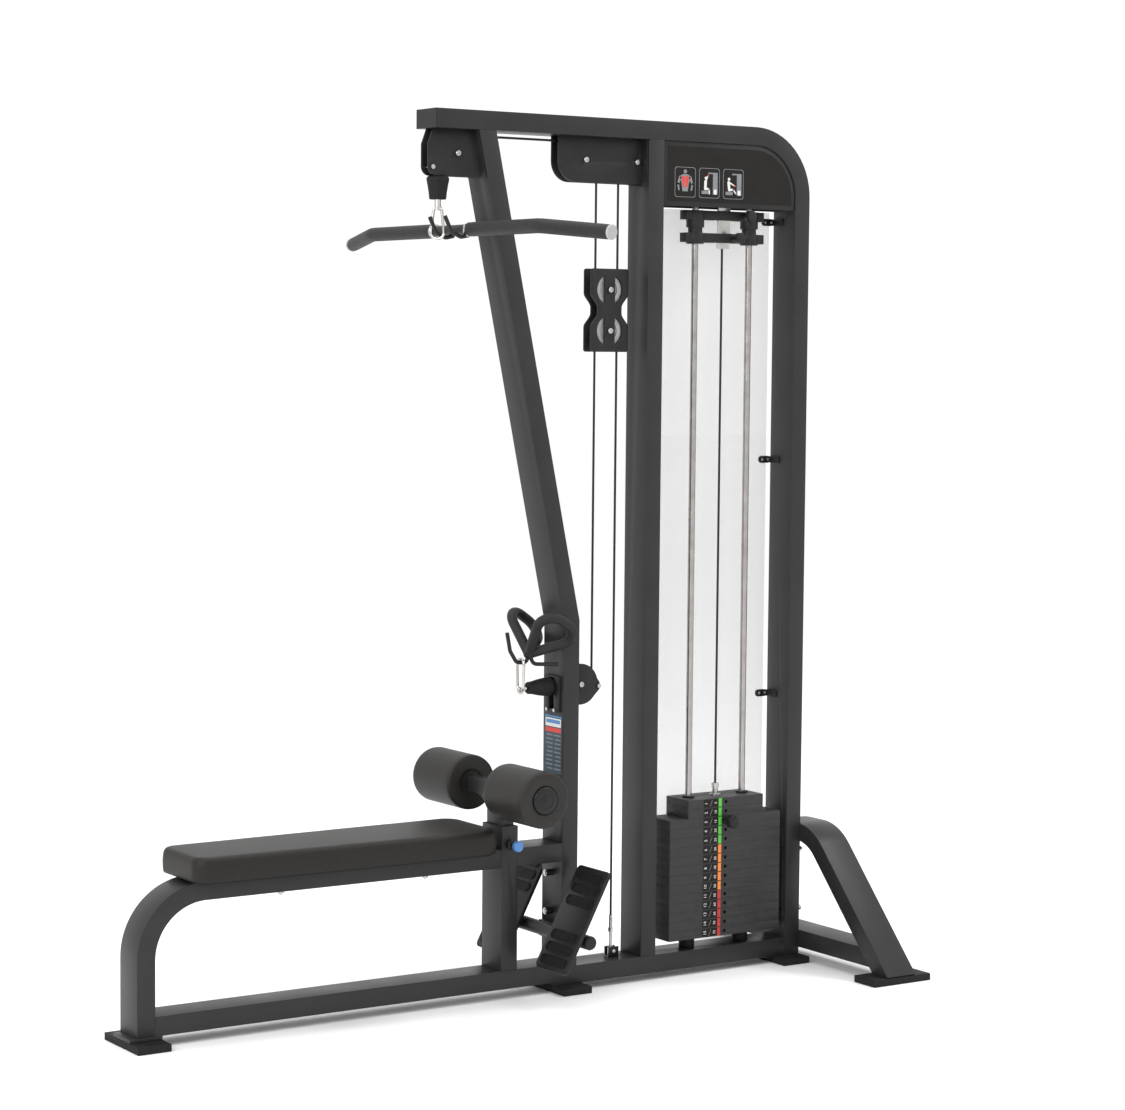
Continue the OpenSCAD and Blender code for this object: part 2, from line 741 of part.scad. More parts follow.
module cable_fixed_runs() {
    dx = low_x - guide_x;
    dz = low_z - guide_z;
    // direction of the line that crosses from the guide roller to the low pulley
    cross_a = atan2(dz, dx) + acos((big_r + guide_r) / norm([dx, dz]));
    low_a = 180 + cross_a;
    color([0.08, 0.08, 0.08]) {
        cable_turn(high_x, high_z, big_r, 90, 180);
        joined_run(high_x, top_run_z, transfer_x, top_run_z);
        cable_turn(transfer_x, high_z, big_r, 0, 90);
        cable_turn(transfer2_x, high_z, big_r, 90, 180);
        joined_run(transfer2_x, top_run_z, stack_pulley_x, top_run_z);
        cable_turn(stack_pulley_x, high_z, big_r, 0, 90);
        cable_turn(low_x, low_z, big_r, low_a, 360);
        joined_run(low_x + big_r * cos(low_a), low_z + big_r * sin(low_a),
                  guide_x + guide_r * cos(cross_a), guide_z + guide_r * sin(cross_a));
        cable_turn(guide_x, guide_z, guide_r, cross_a, 90);
    }
}

module cable_lat_drop() {
    color([0.08, 0.08, 0.08]) cable_run(lat_x, 2191.5, lat_x, high_z);
}

module cable_row_pull() {
    color([0.08, 0.08, 0.08]) cable_run(front_x - 8.8, row_z, guide_x, row_z);
}

module cable_block_runs() {
    color([0.08, 0.08, 0.08]) {
        for (x = [run_front_x, run_rear_x]) cable_run(x, block_z + block_step, x, high_z);
        cable_run(run_front_x, low_z, run_front_x, block_z - block_step);
        cable_run(run_rear_x, 185, run_rear_x, block_z - block_step);
    }
}

module block_cable_turns() {
    color([0.08, 0.08, 0.08]) {
        cable_turn(block_x, block_z + block_step, small_r, 180, 360);
        cable_turn(block_x, block_z - block_step, small_r, 0, 180);
    }
}

module cable_stack_drop() {
    color([0.08, 0.08, 0.08]) cable_run(stack_x, stack_top + 34, stack_x, high_z);
}

module cable_anchor() {
    base = rear_rail_z + tube_t;
    color([0.7, 0.7, 0.7]) {
        both_sides() slab(7, 11) translate([run_rear_x - 14, base]) square([34, 28]);
        block([run_rear_x - 14, -11, base], [run_rear_x + 20, 11, base + 4]);
        bar_y(run_rear_x + 3, base + 16, 5, -14, 14);
        translate([run_rear_x, 0, base + 8]) cylinder(r = 7, h = 22);
        translate([run_rear_x, 0, base + 28]) cylinder(r = 4, h = 50);
        translate([run_rear_x, 0, base + 70]) cylinder(r = 7.5, h = 10, $fn = 6);
        translate([run_rear_x, 0, base + 78]) cylinder(r = 5, h = 38);
    }
}

// ---------- weight stack ----------

module guide_rods() {
    color([0.78, 0.77, 0.76]) for (s = [-1, 1])
        translate([stack_x + s * rod_gap / 2, 0, rear_rail_z + tube_t])
            cylinder(r = rod_d / 2, h = rod_top - rear_rail_z - tube_t);
}

module rod_buffers() {
    base = rear_rail_z + tube_t;
    color([0.6, 0.6, 0.6]) for (s = [-1, 1]) translate([stack_x + s * rod_gap / 2, 0, base])
        difference() {
            cylinder(r = 22, h = stack_foot - base);
            translate([0, 0, -1]) cylinder(r = rod_d / 2 + 0.05, h = 60);
        }
}

// One weight plate of length l with its underside at z
module weight_plate(l, z, rod_hole) {
    difference() {
        block([stack_x - l / 2, -plate_d / 2, z], [stack_x + l / 2, plate_d / 2, z + plate_h - 0.4]);
        for (s = [-1, 1]) translate([stack_x + s * rod_gap / 2, 0, z - 1])
            cylinder(r = rod_hole, h = plate_h + 2);
        translate([stack_x, 0, z - 1]) cylinder(r = 14, h = plate_h + 2);
        bar_y(stack_x, z + plate_h / 2, 5.1, -plate_d / 2 - 1, 0);
    }
}

module weight_plates() {
    color([0.25, 0.25, 0.25]) for (k = [0 : plates - lifted - 1])
        weight_plate(plate_len, stack_foot + k * plate_h, 12);
}

module lifted_plates() {
    color([0.25, 0.25, 0.25]) for (k = [0 : lifted - 1])
        weight_plate(k == 0 ? plate_len : head_len, lift_z + k * plate_h, 12);
}

module stack_bushes() {
    color([0.05, 0.05, 0.05]) for (s = [-1, 1]) translate([stack_x + s * rod_gap / 2, 0, 0])
        difference() {
            union() {
                translate([0, 0, stack_top - plate_h]) cylinder(r = 12, h = plate_h + 1);
                translate([0, 0, stack_top - 0.4]) cylinder(r = 17, h = 5);
            }
            translate([0, 0, stack_top - 40]) cylinder(r = rod_d / 2 + 0.08, h = 60);
        }
}

module selector_stem() {
    color([0.7, 0.7, 0.71]) difference() {
        union() {
            translate([stack_x, 0, stack_foot + 4]) cylinder(r = 12.5, h = stack_top - stack_foot);
            translate([stack_x, 0, stack_top - 0.4]) cylinder(r = 16, h = 3.4);
            translate([stack_x, 0, stack_top]) cylinder(r = 8, h = 34);
            translate([stack_x, 0, stack_top + 22]) cylinder(r = 10, h = 12);
        }
        for (k = [0 : plates - 1]) bar_y(stack_x, stack_foot + (k + 0.5) * plate_h, 5.1, -20, 20);
    }
}

module selector_pin() {
    z = lift_z + plate_h / 2;
    color([0.08, 0.08, 0.08]) translate([stack_x, -plate_d / 2, z]) rotate([90, 0, 0])
        rotate_extrude($fn = 64) polygon([[0, -66], [3.5, -66], [5, -62], [5, 1], [9, 1], [9, 12],
                                          [16, 16], [18, 22], [18, 38], [16, 42], [10, 44], [0, 44]]);
}

module increment_weights() {
    half = 135;
    color([0.13, 0.13, 0.13]) difference() {
        union() {
            for (z = [2042, 2104]) block([stack_x - half, -14, z], [stack_x + half, 14, z + 26]);
            for (s = [-1, 1]) translate([stack_x + s * rod_gap / 2, 0, 0]) {
                translate([0, 0, 2038]) cylinder(r = 25, h = 30);
                translate([0, 0, 2066]) cylinder(r = 20, h = 20);
                translate([0, 0, 2083]) cylinder(r = 25, h = 47);
            }
            for (k = [[24, 2055], [62, 2117]])
                translate([stack_x + k[0], -14, k[1]]) rotate([90, 0, 0]) {
                    cylinder(r = 7, h = 27);
                    translate([0, 0, 26]) cylinder(r = 15, h = 18);
                }
        }
        for (s = [-1, 1]) translate([stack_x + s * rod_gap / 2, 0, 2000])
            cylinder(r = rod_d / 2 + 0.5, h = 150);
        block([stack_x - 27, -8.5, 2000], [stack_x + 27, 30, 2140]);
    }
}

// ---------- covers ----------

// Outline of the side covers under the bend of the main arch
module cover_outline() {
    low = 2137;
    left = mid_x + tube_t + 1;
    right = rear_x - 1;
    r = bend_r - tube_t + 1;
    difference() {
        union() {
            translate([left, low]) square([right - r - left + 2, beam_z - 1 - low]);
            intersection() {
                translate([right - r + 2, beam_z - r + 1]) circle(r - 2, $fn = 96);
                translate([right - r, beam_z - r]) square([r + 10, r + 10]);
            }
            translate([left, low]) square([right - left, beam_z - r - low + 2]);
        }
    }
}

module side_covers() {
    color([0.12, 0.12, 0.12]) both_sides() slab(-47, -44) cover_outline();
}

module rear_shield() {
    color([0.9, 0.91, 0.92, 0.4]) block([mid_x + tube_t + 1, 54.5, 110], [rear_x - 12, 57.5, 2134]);
}

module shield_clips() {
    color([0.06, 0.06, 0.06]) for (z = [765, 1435, 2107]) {
        block([rear_x - 4, 5, z - 9], [rear_x, 51, z + 9]);
        slab(50.1, 54.4) translate([rear_x - 20, z]) rounded(40, 20, 9);
    }
}

// ---------- lat station ----------

module lat_stop() {
    color([0.07, 0.07, 0.07]) translate([lat_x, 0, 2131]) rotate_extrude($fn = 64)
        polygon([[0, 0], [21, 0], [22.5, 2], [24, 18], [28, 42], [30, 51], [29, 57], [25, 60],
                 [8, 60.5], [0, 60.5]]);
}

module lat_carabiner() {
    color([0.8, 0.8, 0.8]) translate([lat_x, 0, 0]) rotate([0, 0, -45]) {
        difference() {
            translate([0, 0, lat_eye_z - 10]) cylinder(r = 8.5, h = 28.6);
            rotate([0, 0, 90]) bar_y(0, lat_eye_z, 4.8, -12, 12);
        }
        translate([0, 0, lat_eye_z - 66]) wire_loop(17, 11, 55, 4);
    }
}

module lat_bar() {
    bar_x_pos = -175;
    bar_z = 2052;
    bend = [bar_x_pos, 420, bar_z];
    tip = [bar_x_pos + 65, 651, bar_z - 21];
    hook_r = 5.5;
    color([0.13, 0.13, 0.13]) {
        bar_y(bar_x_pos, bar_z, 14, -90, 90);
        both_sides() bent_rod([[bar_x_pos, 84, bar_z], bend, tip], 19, 90);
        for (y = [0, -77]) bent_rod([[lat_x - 24, y, bar_z + 33], [lat_x - 4, y, bar_z - 7],
                                     [lat_x + 24, y, bar_z - 20], [bar_x_pos + 4, y, bar_z - 15]],
                                    hook_r, 14);
    }
}

// ---------- row station ----------

module row_stop() {
    color([0.07, 0.07, 0.07]) translate([70, 0, row_z]) rotate([0, 90, 0]) rotate_extrude($fn = 64)
        polygon([[0, 0], [15, 0], [16.5, 2], [17.5, 14], [22, 34], [25, 54], [25, 70], [22, 76],
                 [0, 76.2]]);
}

module row_carabiner() {
    e = row_eye;
    color([0.8, 0.8, 0.8]) {
        difference() {
            union() {
                bar_x(0, row_z, 6, 57, 69.7);
                bar_y(e[0], e[2], 10, -3, 3);
                block([e[0], -3, e[2] - 5], [60, 3, e[2] + 9]);
            }
            bar_y(e[0], e[2], 4.8, -5, 5);
        }
        translate([e[0], 0, e[2] + 14]) rotate([0, 0, 90]) wire_loop(14, 17, 55, 4);
    }
}

module row_handle() {
    hub = [74, 0, 925];
    top = [54, grip_w, 1061];
    back = [183, grip_w, 972];
    hook_r = 5.5;
    color([0.13, 0.13, 0.13]) {
        both_sides() bent_rod([hub, top, back, hub + [2, 0, 0]], grip_r, 40);
        translate(hub) sphere(r = 15.5, $fn = 48);
        bent_rod([[8, 6, 984], [18, 6, 934], [36, 2, 903], [66, 0, 901], [74, 0, 925]], hook_r, 14);
        bent_rod([[74, 0, 925], [84, -8, 897], [140, -44, 897]], hook_r, 14);
    }
}

// ---------- assembly ----------

base_rails();
bench_frame();
bench_post();
bench_link();
front_post();
main_arch();
mid_upright();
stabiliser();
foot_pads();
seat_board();
seat_pad();
frame_fasteners();
footrest_tube();
footplates();
footplate_treads();
pop_pin_barrel();
high_pulley_bracket();
transfer_bracket();
stack_pulley_bracket();
low_pulley_housing();
pulley_axles();
guide_rods();
rod_buffers();
weight_plates();
side_covers();
rear_shield();
shield_clips();
cable_anchor();
end_caps();
cable_fixed_runs();
cable_lat_drop();
cable_row_pull();
cable_block_runs();
cable_stack_drop();
high_pulley();
front_transfer_pulley();
rear_transfer_pulley();
stack_pulley();
low_pulley();
guide_roller();
block_plates();
block_bolts();
block_upper_pulley();
block_lower_pulley();
block_cable_turns();
lifted_plates();
stack_bushes();
selector_stem();
selector_pin();
roller_post();
foam_roller_left();
foam_roller_right();
pop_pin_plunger();
lat_stop();
lat_carabiner();
lat_bar();
row_stop();
row_carabiner();
row_handle();
increment_weights();
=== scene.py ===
"""The looks of the cable row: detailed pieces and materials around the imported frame, which stays as it is."""

import json
import math

import bmesh
import bpy
from mathutils import Matrix, Vector, noise

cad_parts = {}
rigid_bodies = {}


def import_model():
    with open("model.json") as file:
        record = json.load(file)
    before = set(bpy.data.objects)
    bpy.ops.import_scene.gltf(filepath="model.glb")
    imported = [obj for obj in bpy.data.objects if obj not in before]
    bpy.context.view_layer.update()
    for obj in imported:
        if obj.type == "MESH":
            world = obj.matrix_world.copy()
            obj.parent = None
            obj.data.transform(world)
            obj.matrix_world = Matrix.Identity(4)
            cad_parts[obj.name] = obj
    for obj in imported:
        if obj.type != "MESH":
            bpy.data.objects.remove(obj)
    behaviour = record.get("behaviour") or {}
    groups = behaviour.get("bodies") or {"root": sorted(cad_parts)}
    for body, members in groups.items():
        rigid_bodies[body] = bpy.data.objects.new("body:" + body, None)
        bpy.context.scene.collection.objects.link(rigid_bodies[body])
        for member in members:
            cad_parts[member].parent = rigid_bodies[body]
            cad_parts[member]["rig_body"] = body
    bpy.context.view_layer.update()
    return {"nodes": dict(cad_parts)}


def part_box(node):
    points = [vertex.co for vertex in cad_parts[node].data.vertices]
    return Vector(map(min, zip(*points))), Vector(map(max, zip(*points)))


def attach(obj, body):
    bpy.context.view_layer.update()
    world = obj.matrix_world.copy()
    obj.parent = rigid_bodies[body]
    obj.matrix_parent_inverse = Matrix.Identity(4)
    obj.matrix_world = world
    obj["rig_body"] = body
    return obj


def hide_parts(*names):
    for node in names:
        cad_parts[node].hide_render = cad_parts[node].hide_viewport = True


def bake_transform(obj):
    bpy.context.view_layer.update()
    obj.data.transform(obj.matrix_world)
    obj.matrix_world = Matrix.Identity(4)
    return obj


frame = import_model()
NODES = frame["nodes"]
BODY = {n: o["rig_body"] for n, o in NODES.items()}
MM = 0.001


def centre(node):
    low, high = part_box(node)
    return (low + high) / 2


# ------------------------------------------------------------------ materials


def material(name, colour, second=None, rough=(0.4, 0.5), metal=0.0, size=120.0, bump=0.0, bump_size=900.0,
             bump_kind="noise", coat=0.0, alpha=1.0, patch=(0.35, 0.65), shine=0.5):
    """A procedural surface: two close colours and a roughness that drift with noise, and a fine bump."""
    m = bpy.data.materials.new(name)
    m.use_nodes = True
    nodes, links = m.node_tree.nodes, m.node_tree.links
    shader = nodes["Principled BSDF"]
    shader.inputs["Metallic"].default_value = metal
    shader.inputs["Specular IOR Level"].default_value = shine
    shader.inputs["Coat Weight"].default_value = coat
    shader.inputs["Coat Roughness"].default_value = 0.12
    shader.inputs["Alpha"].default_value = alpha
    where = nodes.new("ShaderNodeTexCoord")
    drift = nodes.new("ShaderNodeTexNoise")
    drift.inputs["Scale"].default_value = size
    drift.inputs["Detail"].default_value = 4.0
    links.new(where.outputs["Object"], drift.inputs["Vector"])
    ramp = nodes.new("ShaderNodeValToRGB")
    ramp.color_ramp.elements[0].position = patch[0]
    ramp.color_ramp.elements[1].position = patch[1]
    ramp.color_ramp.elements[0].color = (*colour, 1)
    ramp.color_ramp.elements[1].color = (*(second or [c * 1.15 for c in colour]), 1)
    links.new(drift.outputs["Fac"], ramp.inputs["Fac"])
    links.new(ramp.outputs["Color"], shader.inputs["Base Color"])
    spread = nodes.new("ShaderNodeMapRange")
    spread.inputs["From Min"].default_value = 0.3
    spread.inputs["From Max"].default_value = 0.7
    spread.inputs["To Min"].default_value = rough[0]
    spread.inputs["To Max"].default_value = rough[1]
    links.new(drift.outputs["Fac"], spread.inputs["Value"])
    links.new(spread.outputs["Result"], shader.inputs["Roughness"])
    if bump:
        if bump_kind == "leather":
            grain = nodes.new("ShaderNodeTexVoronoi")
            grain.feature = "DISTANCE_TO_EDGE"
            height = grain.outputs["Distance"]
        elif bump_kind == "brushed":
            grain = nodes.new("ShaderNodeTexNoise")
            stretch = nodes.new("ShaderNodeMapping")
            stretch.inputs["Scale"].default_value = (1, 1, 0.02)
            links.new(where.outputs["Object"], stretch.inputs["Vector"])
            height = grain.outputs["Fac"]
        else:
            grain = nodes.new("ShaderNodeTexNoise")
            grain.inputs["Detail"].default_value = 3.0
            height = grain.outputs["Fac"]
        grain.inputs["Scale"].default_value = bump_size
        source = stretch.outputs["Vector"] if bump_kind == "brushed" else where.outputs["Object"]
        links.new(source, grain.inputs["Vector"])
        relief = nodes.new("ShaderNodeBump")
        relief.inputs["Strength"].default_value = bump
        relief.inputs["Distance"].default_value = 0.0006
        links.new(height, relief.inputs["Height"])
        links.new(relief.outputs["Normal"], shader.inputs["Normal"])
    return m


PAINT = material("frame_paint", (0.023, 0.023, 0.024), (0.027, 0.027, 0.028), (0.34, 0.42), 0.15, 9, 0.2, 1500,
                 shine=0.27)
DARK_PAINT = material("bracket_paint", (0.013, 0.013, 0.013), (0.017, 0.017, 0.017), (0.38, 0.48), 0.1, 20, 0.25, 1500,
                      shine=0.28)
IRON = material("plate_paint", (0.028, 0.028, 0.028), (0.034, 0.034, 0.034), (0.44, 0.54), 0.1, 40, 0.5, 700,
                shine=0.32)
STEEL = material("zinc_steel", (0.44, 0.43, 0.41), (0.54, 0.53, 0.51), (0.22, 0.34), 1.0, 60, 0.15, 1200)
BRUSHED = material("brushed_rod", (0.36, 0.34, 0.33), (0.43, 0.41, 0.40), (0.18, 0.28), 1.0, 40, 0.2, 1800, "brushed")
CHROME = material("chrome", (0.52, 0.50, 0.48), (0.60, 0.58, 0.56), (0.08, 0.15), 1.0, 30)
NYLON = material("pulley_nylon", (0.36, 0.36, 0.36), (0.41, 0.41, 0.41), (0.34, 0.44), 0.0, 60, 0.1, 500, shine=0.3)
RUBBER = material("rubber", (0.008, 0.008, 0.008), (0.012, 0.012, 0.012), (0.58, 0.76), 0.0, 60, 0.5, 900, shine=0.22)
GRIP = material("grip_rubber", (0.013, 0.013, 0.013), (0.019, 0.019, 0.019), (0.48, 0.60), 0.0, 80, 0.6, 1600,
                "leather", shine=0.28)
CABLE = material("cable_coat", (0.010, 0.010, 0.010), (0.014, 0.014, 0.014), (0.28, 0.38), 0.0, 90, 0.1, 800, shine=0.3)
VINYL = material("vinyl", (0.0105, 0.0094, 0.0082), (0.0165, 0.0148, 0.0130), (0.36, 0.52), 0.0, 420, 0.65, 620,
                 "leather", patch=(0.42, 0.62), shine=0.24)
FOAM = material("roller_vinyl", (0.0165, 0.0155, 0.0143), (0.0225, 0.0212, 0.0198), (0.42, 0.54), 0.0, 150, 0.35, 1100,
                shine=0.26)
PLASTIC = material("black_plastic", (0.009, 0.009, 0.009), (0.013, 0.013, 0.013), (0.36, 0.46), 0.0, 60, 0.2, 1300,
                   shine=0.26)
TREAD = material("tread_rubber", (0.007, 0.007, 0.007), (0.011, 0.011, 0.011), (0.5, 0.66), 0.0, 90, 0.4, 900,
                 shine=0.22)
COVER = material("cover_sheet", (0.012, 0.012, 0.012), (0.015, 0.015, 0.015), (0.42, 0.52), 0.0, 30, 0.2, 1500,
                 shine=0.28)
DECAL = material("decal_ground", (0.0072, 0.0056, 0.0046), (0.0092, 0.0074, 0.0060), (0.40, 0.48), 0.0, 20, shine=0.22)
CLEAR = material("clear_sheet", (0.57, 0.58, 0.58), (0.62, 0.62, 0.62), (0.05, 0.09), 0.0, 8, alpha=0.26)
BLUE = material("blue_knob", (0.070, 0.205, 0.50), (0.080, 0.225, 0.53), (0.28, 0.36), 0.0, 90, 0.1, 900)
BOARD = material("painted_board", (0.012, 0.010, 0.009), (0.018, 0.016, 0.014), (0.6, 0.75), 0.0, 60, 0.4, 400,
                 shine=0.2)
PRINT_WHITE = material("print_white", (0.62, 0.62, 0.60), (0.68, 0.68, 0.66), (0.4, 0.5), 0.0, 200)
PRINT_GREY = material("print_grey", (0.16, 0.17, 0.18), (0.20, 0.21, 0.22), (0.4, 0.5), 0.0, 200)
PRINT_RED = material("print_red", (0.55, 0.035, 0.025), (0.62, 0.045, 0.03), (0.4, 0.5), 0.0, 200)
PRINT_NAVY = material("print_navy", (0.018, 0.040, 0.062), (0.024, 0.050, 0.075), (0.35, 0.45), 0.0, 100)
PRINT_BLUE = material("print_blue", (0.05, 0.20, 0.42), (0.06, 0.23, 0.47), (0.35, 0.45), 0.0, 100)
BAND_GREEN = material("band_green", (0.07, 0.45, 0.035), (0.08, 0.5, 0.04), (0.35, 0.45), 0.0, 100)
BAND_ORANGE = material("band_orange", (0.74, 0.19, 0.02), (0.8, 0.22, 0.03), (0.35, 0.45), 0.0, 100)
BAND_RED = material("band_red", (0.42, 0.022, 0.02), (0.48, 0.03, 0.025), (0.35, 0.45), 0.0, 100)

# ------------------------------------------------------------------ mesh helpers


def piece(name, vertices, faces, surface, body=None, smooth=True, sharp=None):
    mesh = bpy.data.meshes.new(name)
    mesh.from_pydata([tuple(v) for v in vertices], [], faces)
    mesh.validate()
    clean = bmesh.new()
    clean.from_mesh(mesh)
    bmesh.ops.recalc_face_normals(clean, faces=clean.faces)
    clean.to_mesh(mesh)
    clean.free()
    thing = bpy.data.objects.new(name, mesh)
    bpy.context.scene.collection.objects.link(thing)
    finish_piece(thing, surface, body, smooth, sharp)
    return thing


def finish_piece(thing, surface, body=None, smooth=True, sharp=35):
    mesh = thing.data
    mesh.materials.clear()
    mesh.materials.append(surface)
    mesh.polygons.foreach_set("use_smooth", [smooth] * len(mesh.polygons))
    if smooth and sharp:
        clean = bmesh.new()
        clean.from_mesh(mesh)
        limit = math.radians(sharp)
        for edge in clean.edges:
            edge.smooth = len(edge.link_faces) == 2 and edge.calc_face_angle(0) < limit
        clean.to_mesh(mesh)
        clean.free()
    if body:
        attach(thing, body)


def modified(thing, *modifiers):
    """Applies modifiers, given as (kind, settings), and leaves a plain mesh."""
    for kind, settings in modifiers:
        added = thing.modifiers.new(kind.lower(), kind)
        for key, value in settings.items():
            setattr(added, key, value)
    bpy.context.view_layer.update()
    shape = thing.evaluated_get(bpy.context.evaluated_depsgraph_get())
    mesh = bpy.data.meshes.new_from_object(shape)
    thing.modifiers.clear()
    thing.data = mesh


def refined(node, surface, width, segments=2, corner=32, weld=0.002, inner=None):
    """The CAD shape as a new piece with its sharp edges rounded by width, in millimetres. Points closer than weld are
    joined, and the faces that pass the inner test, which a weld hides, are left out."""
    mesh = NODES[node].data.copy()
    mesh.name = node + ".shape"
    clean = bmesh.new()
    clean.from_mesh(mesh)
    if inner:
        hidden = [f for f in clean.faces if inner(f.calc_center_median() / MM, f.normal)]
        bmesh.ops.delete(clean, geom=hidden, context="FACES")
    bmesh.ops.remove_doubles(clean, verts=clean.verts, dist=weld * MM)
    bmesh.ops.dissolve_limit(clean, angle_limit=math.radians(0.6), verts=clean.verts, edges=clean.edges)
    clean.to_mesh(mesh)
    clean.free()
    thing = bpy.data.objects.new(node + ".detail", mesh)
    bpy.context.scene.collection.objects.link(thing)
    modified(thing, ("BEVEL", {"width": width * MM, "segments": segments, "limit_method": "ANGLE",
                               "angle_limit": math.radians(corner), "use_clamp_overlap": True}))
    finish_piece(thing, surface, BODY[node], True, 40)
    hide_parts(node)
    return thing


def painted(node, surface):
    """Gives a CAD node whose shape is right its material."""
    mesh = NODES[node].data
    mesh.materials.clear()
    mesh.materials.append(surface)


def repainted(thing, surface, chosen):
    """Gives the faces whose middle, in mm, passes the test a second material."""
    mesh = thing.data
    mesh.materials.append(surface)
    for face in mesh.polygons:
        if chosen(face.center / MM):
            face.material_index = len(mesh.materials) - 1


def rings_to_faces(count, size, closed_path=False, caps=True):
    faces = []
    steps = count if closed_path else count - 1
    for k in range(steps):
        a, b = k * size, ((k + 1) % count) * size
        for i in range(size):
            j = (i + 1) % size
            faces.append((a + i, a + j, b + j, b + i))
    if caps and not closed_path:
        faces.append(tuple(range(size))[::-1])
        faces.append(tuple(range((count - 1) * size, count * size)))
    return faces


def turned(name, profile, place, axis, surface, body=None, around=48, sharp=35):
    """A lathe shape: profile is a list of (radius, height) in mm along axis from place."""
    axis = Vector(axis).normalized()
    side = axis.orthogonal().normalized()
    other = axis.cross(side)
    vertices = []
    for radius, height in profile:
        for i in range(around):
            a = 2 * math.pi * i / around
            spot = (side * math.cos(a) + other * math.sin(a)) * max(radius, 1e-3) * MM + axis * height * MM
            vertices.append(Vector(place) + spot)
    return piece(name, vertices, rings_to_faces(len(profile), around), surface, body, True, sharp)


def rounded_path(points, radius, steps=8):
    """The polyline in mm with its inner corners turned into arcs."""
    points = [Vector(p) for p in points]
    out = [points[0]]
    for before, corner, after in zip(points, points[1:], points[2:]):
        u, v = (before - corner).normalized(), (after - corner).normalized()
        half = u.angle(v) / 2
        cut = radius / math.tan(half)
        heart = corner + (u + v).normalized() * radius / math.sin(half)
        first, last = corner + u * cut - heart, corner + v * cut - heart
        whole = first.angle(last)
        for k in range(steps + 1):
            t = k / steps
            out.append(heart + (first * math.sin((1 - t) * whole) + last * math.sin(t * whole)) / math.sin(whole))
    out.append(points[-1])
    return out


def tube(name, points, radius, surface, body=None, around=24, closed=False, radii=None, sharp=50):
    """A round tube along points, in mm, with rings that don't twist."""
    points = [Vector(p) for p in points]
    count = len(points)
    vertices, last = [], None
    for k, p in enumerate(points):
        ahead = points[(k + 1) % count] if closed or k + 1 < count else p
        behind = points[k - 1] if closed or k else p
        along = (ahead - behind).normalized()
        if last is None:
            last = along.orthogonal().normalized()
        last = (last - along * last.dot(along)).normalized()
        other = along.cross(last)
        r = radii[k] if radii else radius
        for i in range(around):
            a = 2 * math.pi * i / around
            vertices.append((p + (last * math.cos(a) + other * math.sin(a)) * r) * MM)
    return piece(name, vertices, rings_to_faces(count, around, closed), surface, body, True, sharp)


def straight(a, b, step):
    """Points from a to b in mm, about step apart."""
    a, b = Vector(a), Vector(b)
    count = max(2, int((b - a).length / step))
    return [a.lerp(b, k / count) for k in range(count + 1)]


def turn(x, z, r, start, end, steps=24):
    """Points on a turn about (x, z) in the middle plane, angles from +X towards +Z."""
    out = []
    for k in range(steps + 1):
        a = math.radians(start + (end - start) * k / steps)
        out.append(Vector((x + r * math.cos(a), 0, z + r * math.sin(a))))
    return out


def flat(name, outline, y, thick, surface, body, facing=-1):
    """A thin printed shape on a face across Y: outline is (x, z) in mm, y its outer face."""
    size = len(outline)
    vertices = [Vector((x, y, z)) * MM for x, z in outline]
    vertices += [Vector((x, y - facing * thick, z)) * MM for x, z in outline]
    faces = [tuple(range(size)), tuple(range(2 * size - 1, size - 1, -1))]
    faces += [(i, (i + 1) % size, size + (i + 1) % size, size + i) for i in range(size)]
    return piece(name, vertices, faces, surface, body, False)


def flat_x(name, outline, x, thick, surface, body):
    """The same on a face across X that looks towards -X: outline is (y, z)."""
    size = len(outline)
    vertices = [Vector((x, y, z)) * MM for y, z in outline]
    vertices += [Vector((x + thick, y, z)) * MM for y, z in outline]
    faces = [tuple(range(size)), tuple(range(2 * size - 1, size - 1, -1))]
    faces += [(i, (i + 1) % size, size + (i + 1) % size, size + i) for i in range(size)]
    return piece(name, vertices, faces, surface, body, False)


def rounded_outline(x0, x1, z0, z1, r, steps=6):
    out = []
    for cx, cz, start in ((x1 - r, z1 - r, 0), (x0 + r, z1 - r, 90), (x0 + r, z0 + r, 180), (x1 - r, z0 + r, 270)):
        for k in range(steps + 1):
            a = math.radians(start + 90 * k / steps)
            out.append((cx + r * math.cos(a), cz + r * math.sin(a)))
    return out


def frame_line(name, outline, width, y, surface, body):
    """A printed line around an outline, on a face that looks towards -Y."""
    size = len(outline)
    heart = Vector((sum(p[0] for p in outline) / size, sum(p[1] for p in outline) / size))
    inner = []
    for x, z in outline:
        away = Vector((x, z)) - heart
        scale_x = 1 - width / max(abs(away.x), width * 3)
        scale_z = 1 - width / max(abs(away.y), width * 3)
        inner.append((heart.x + away.x * scale_x, heart.y + away.y * scale_z))
    vertices = []
    for ring in (outline, inner):
        for depth in (y, y + 0.3):
            vertices += [Vector((x, depth, z)) * MM for x, z in ring]
    faces = []
    for i in range(size):
        j = (i + 1) % size
        o0, o1, i0, i1 = 0, size, 2 * size, 3 * size
        faces += [(o0 + i, o0 + j, i0 + j, i0 + i), (o1 + i, i1 + i, i1 + j, o1 + j),
                  (o0 + i, o1 + i, o1 + j, o0 + j), (i0 + i, i0 + j, i1 + j, i1 + i)]
    return piece(name, vertices, faces, surface, body, False)


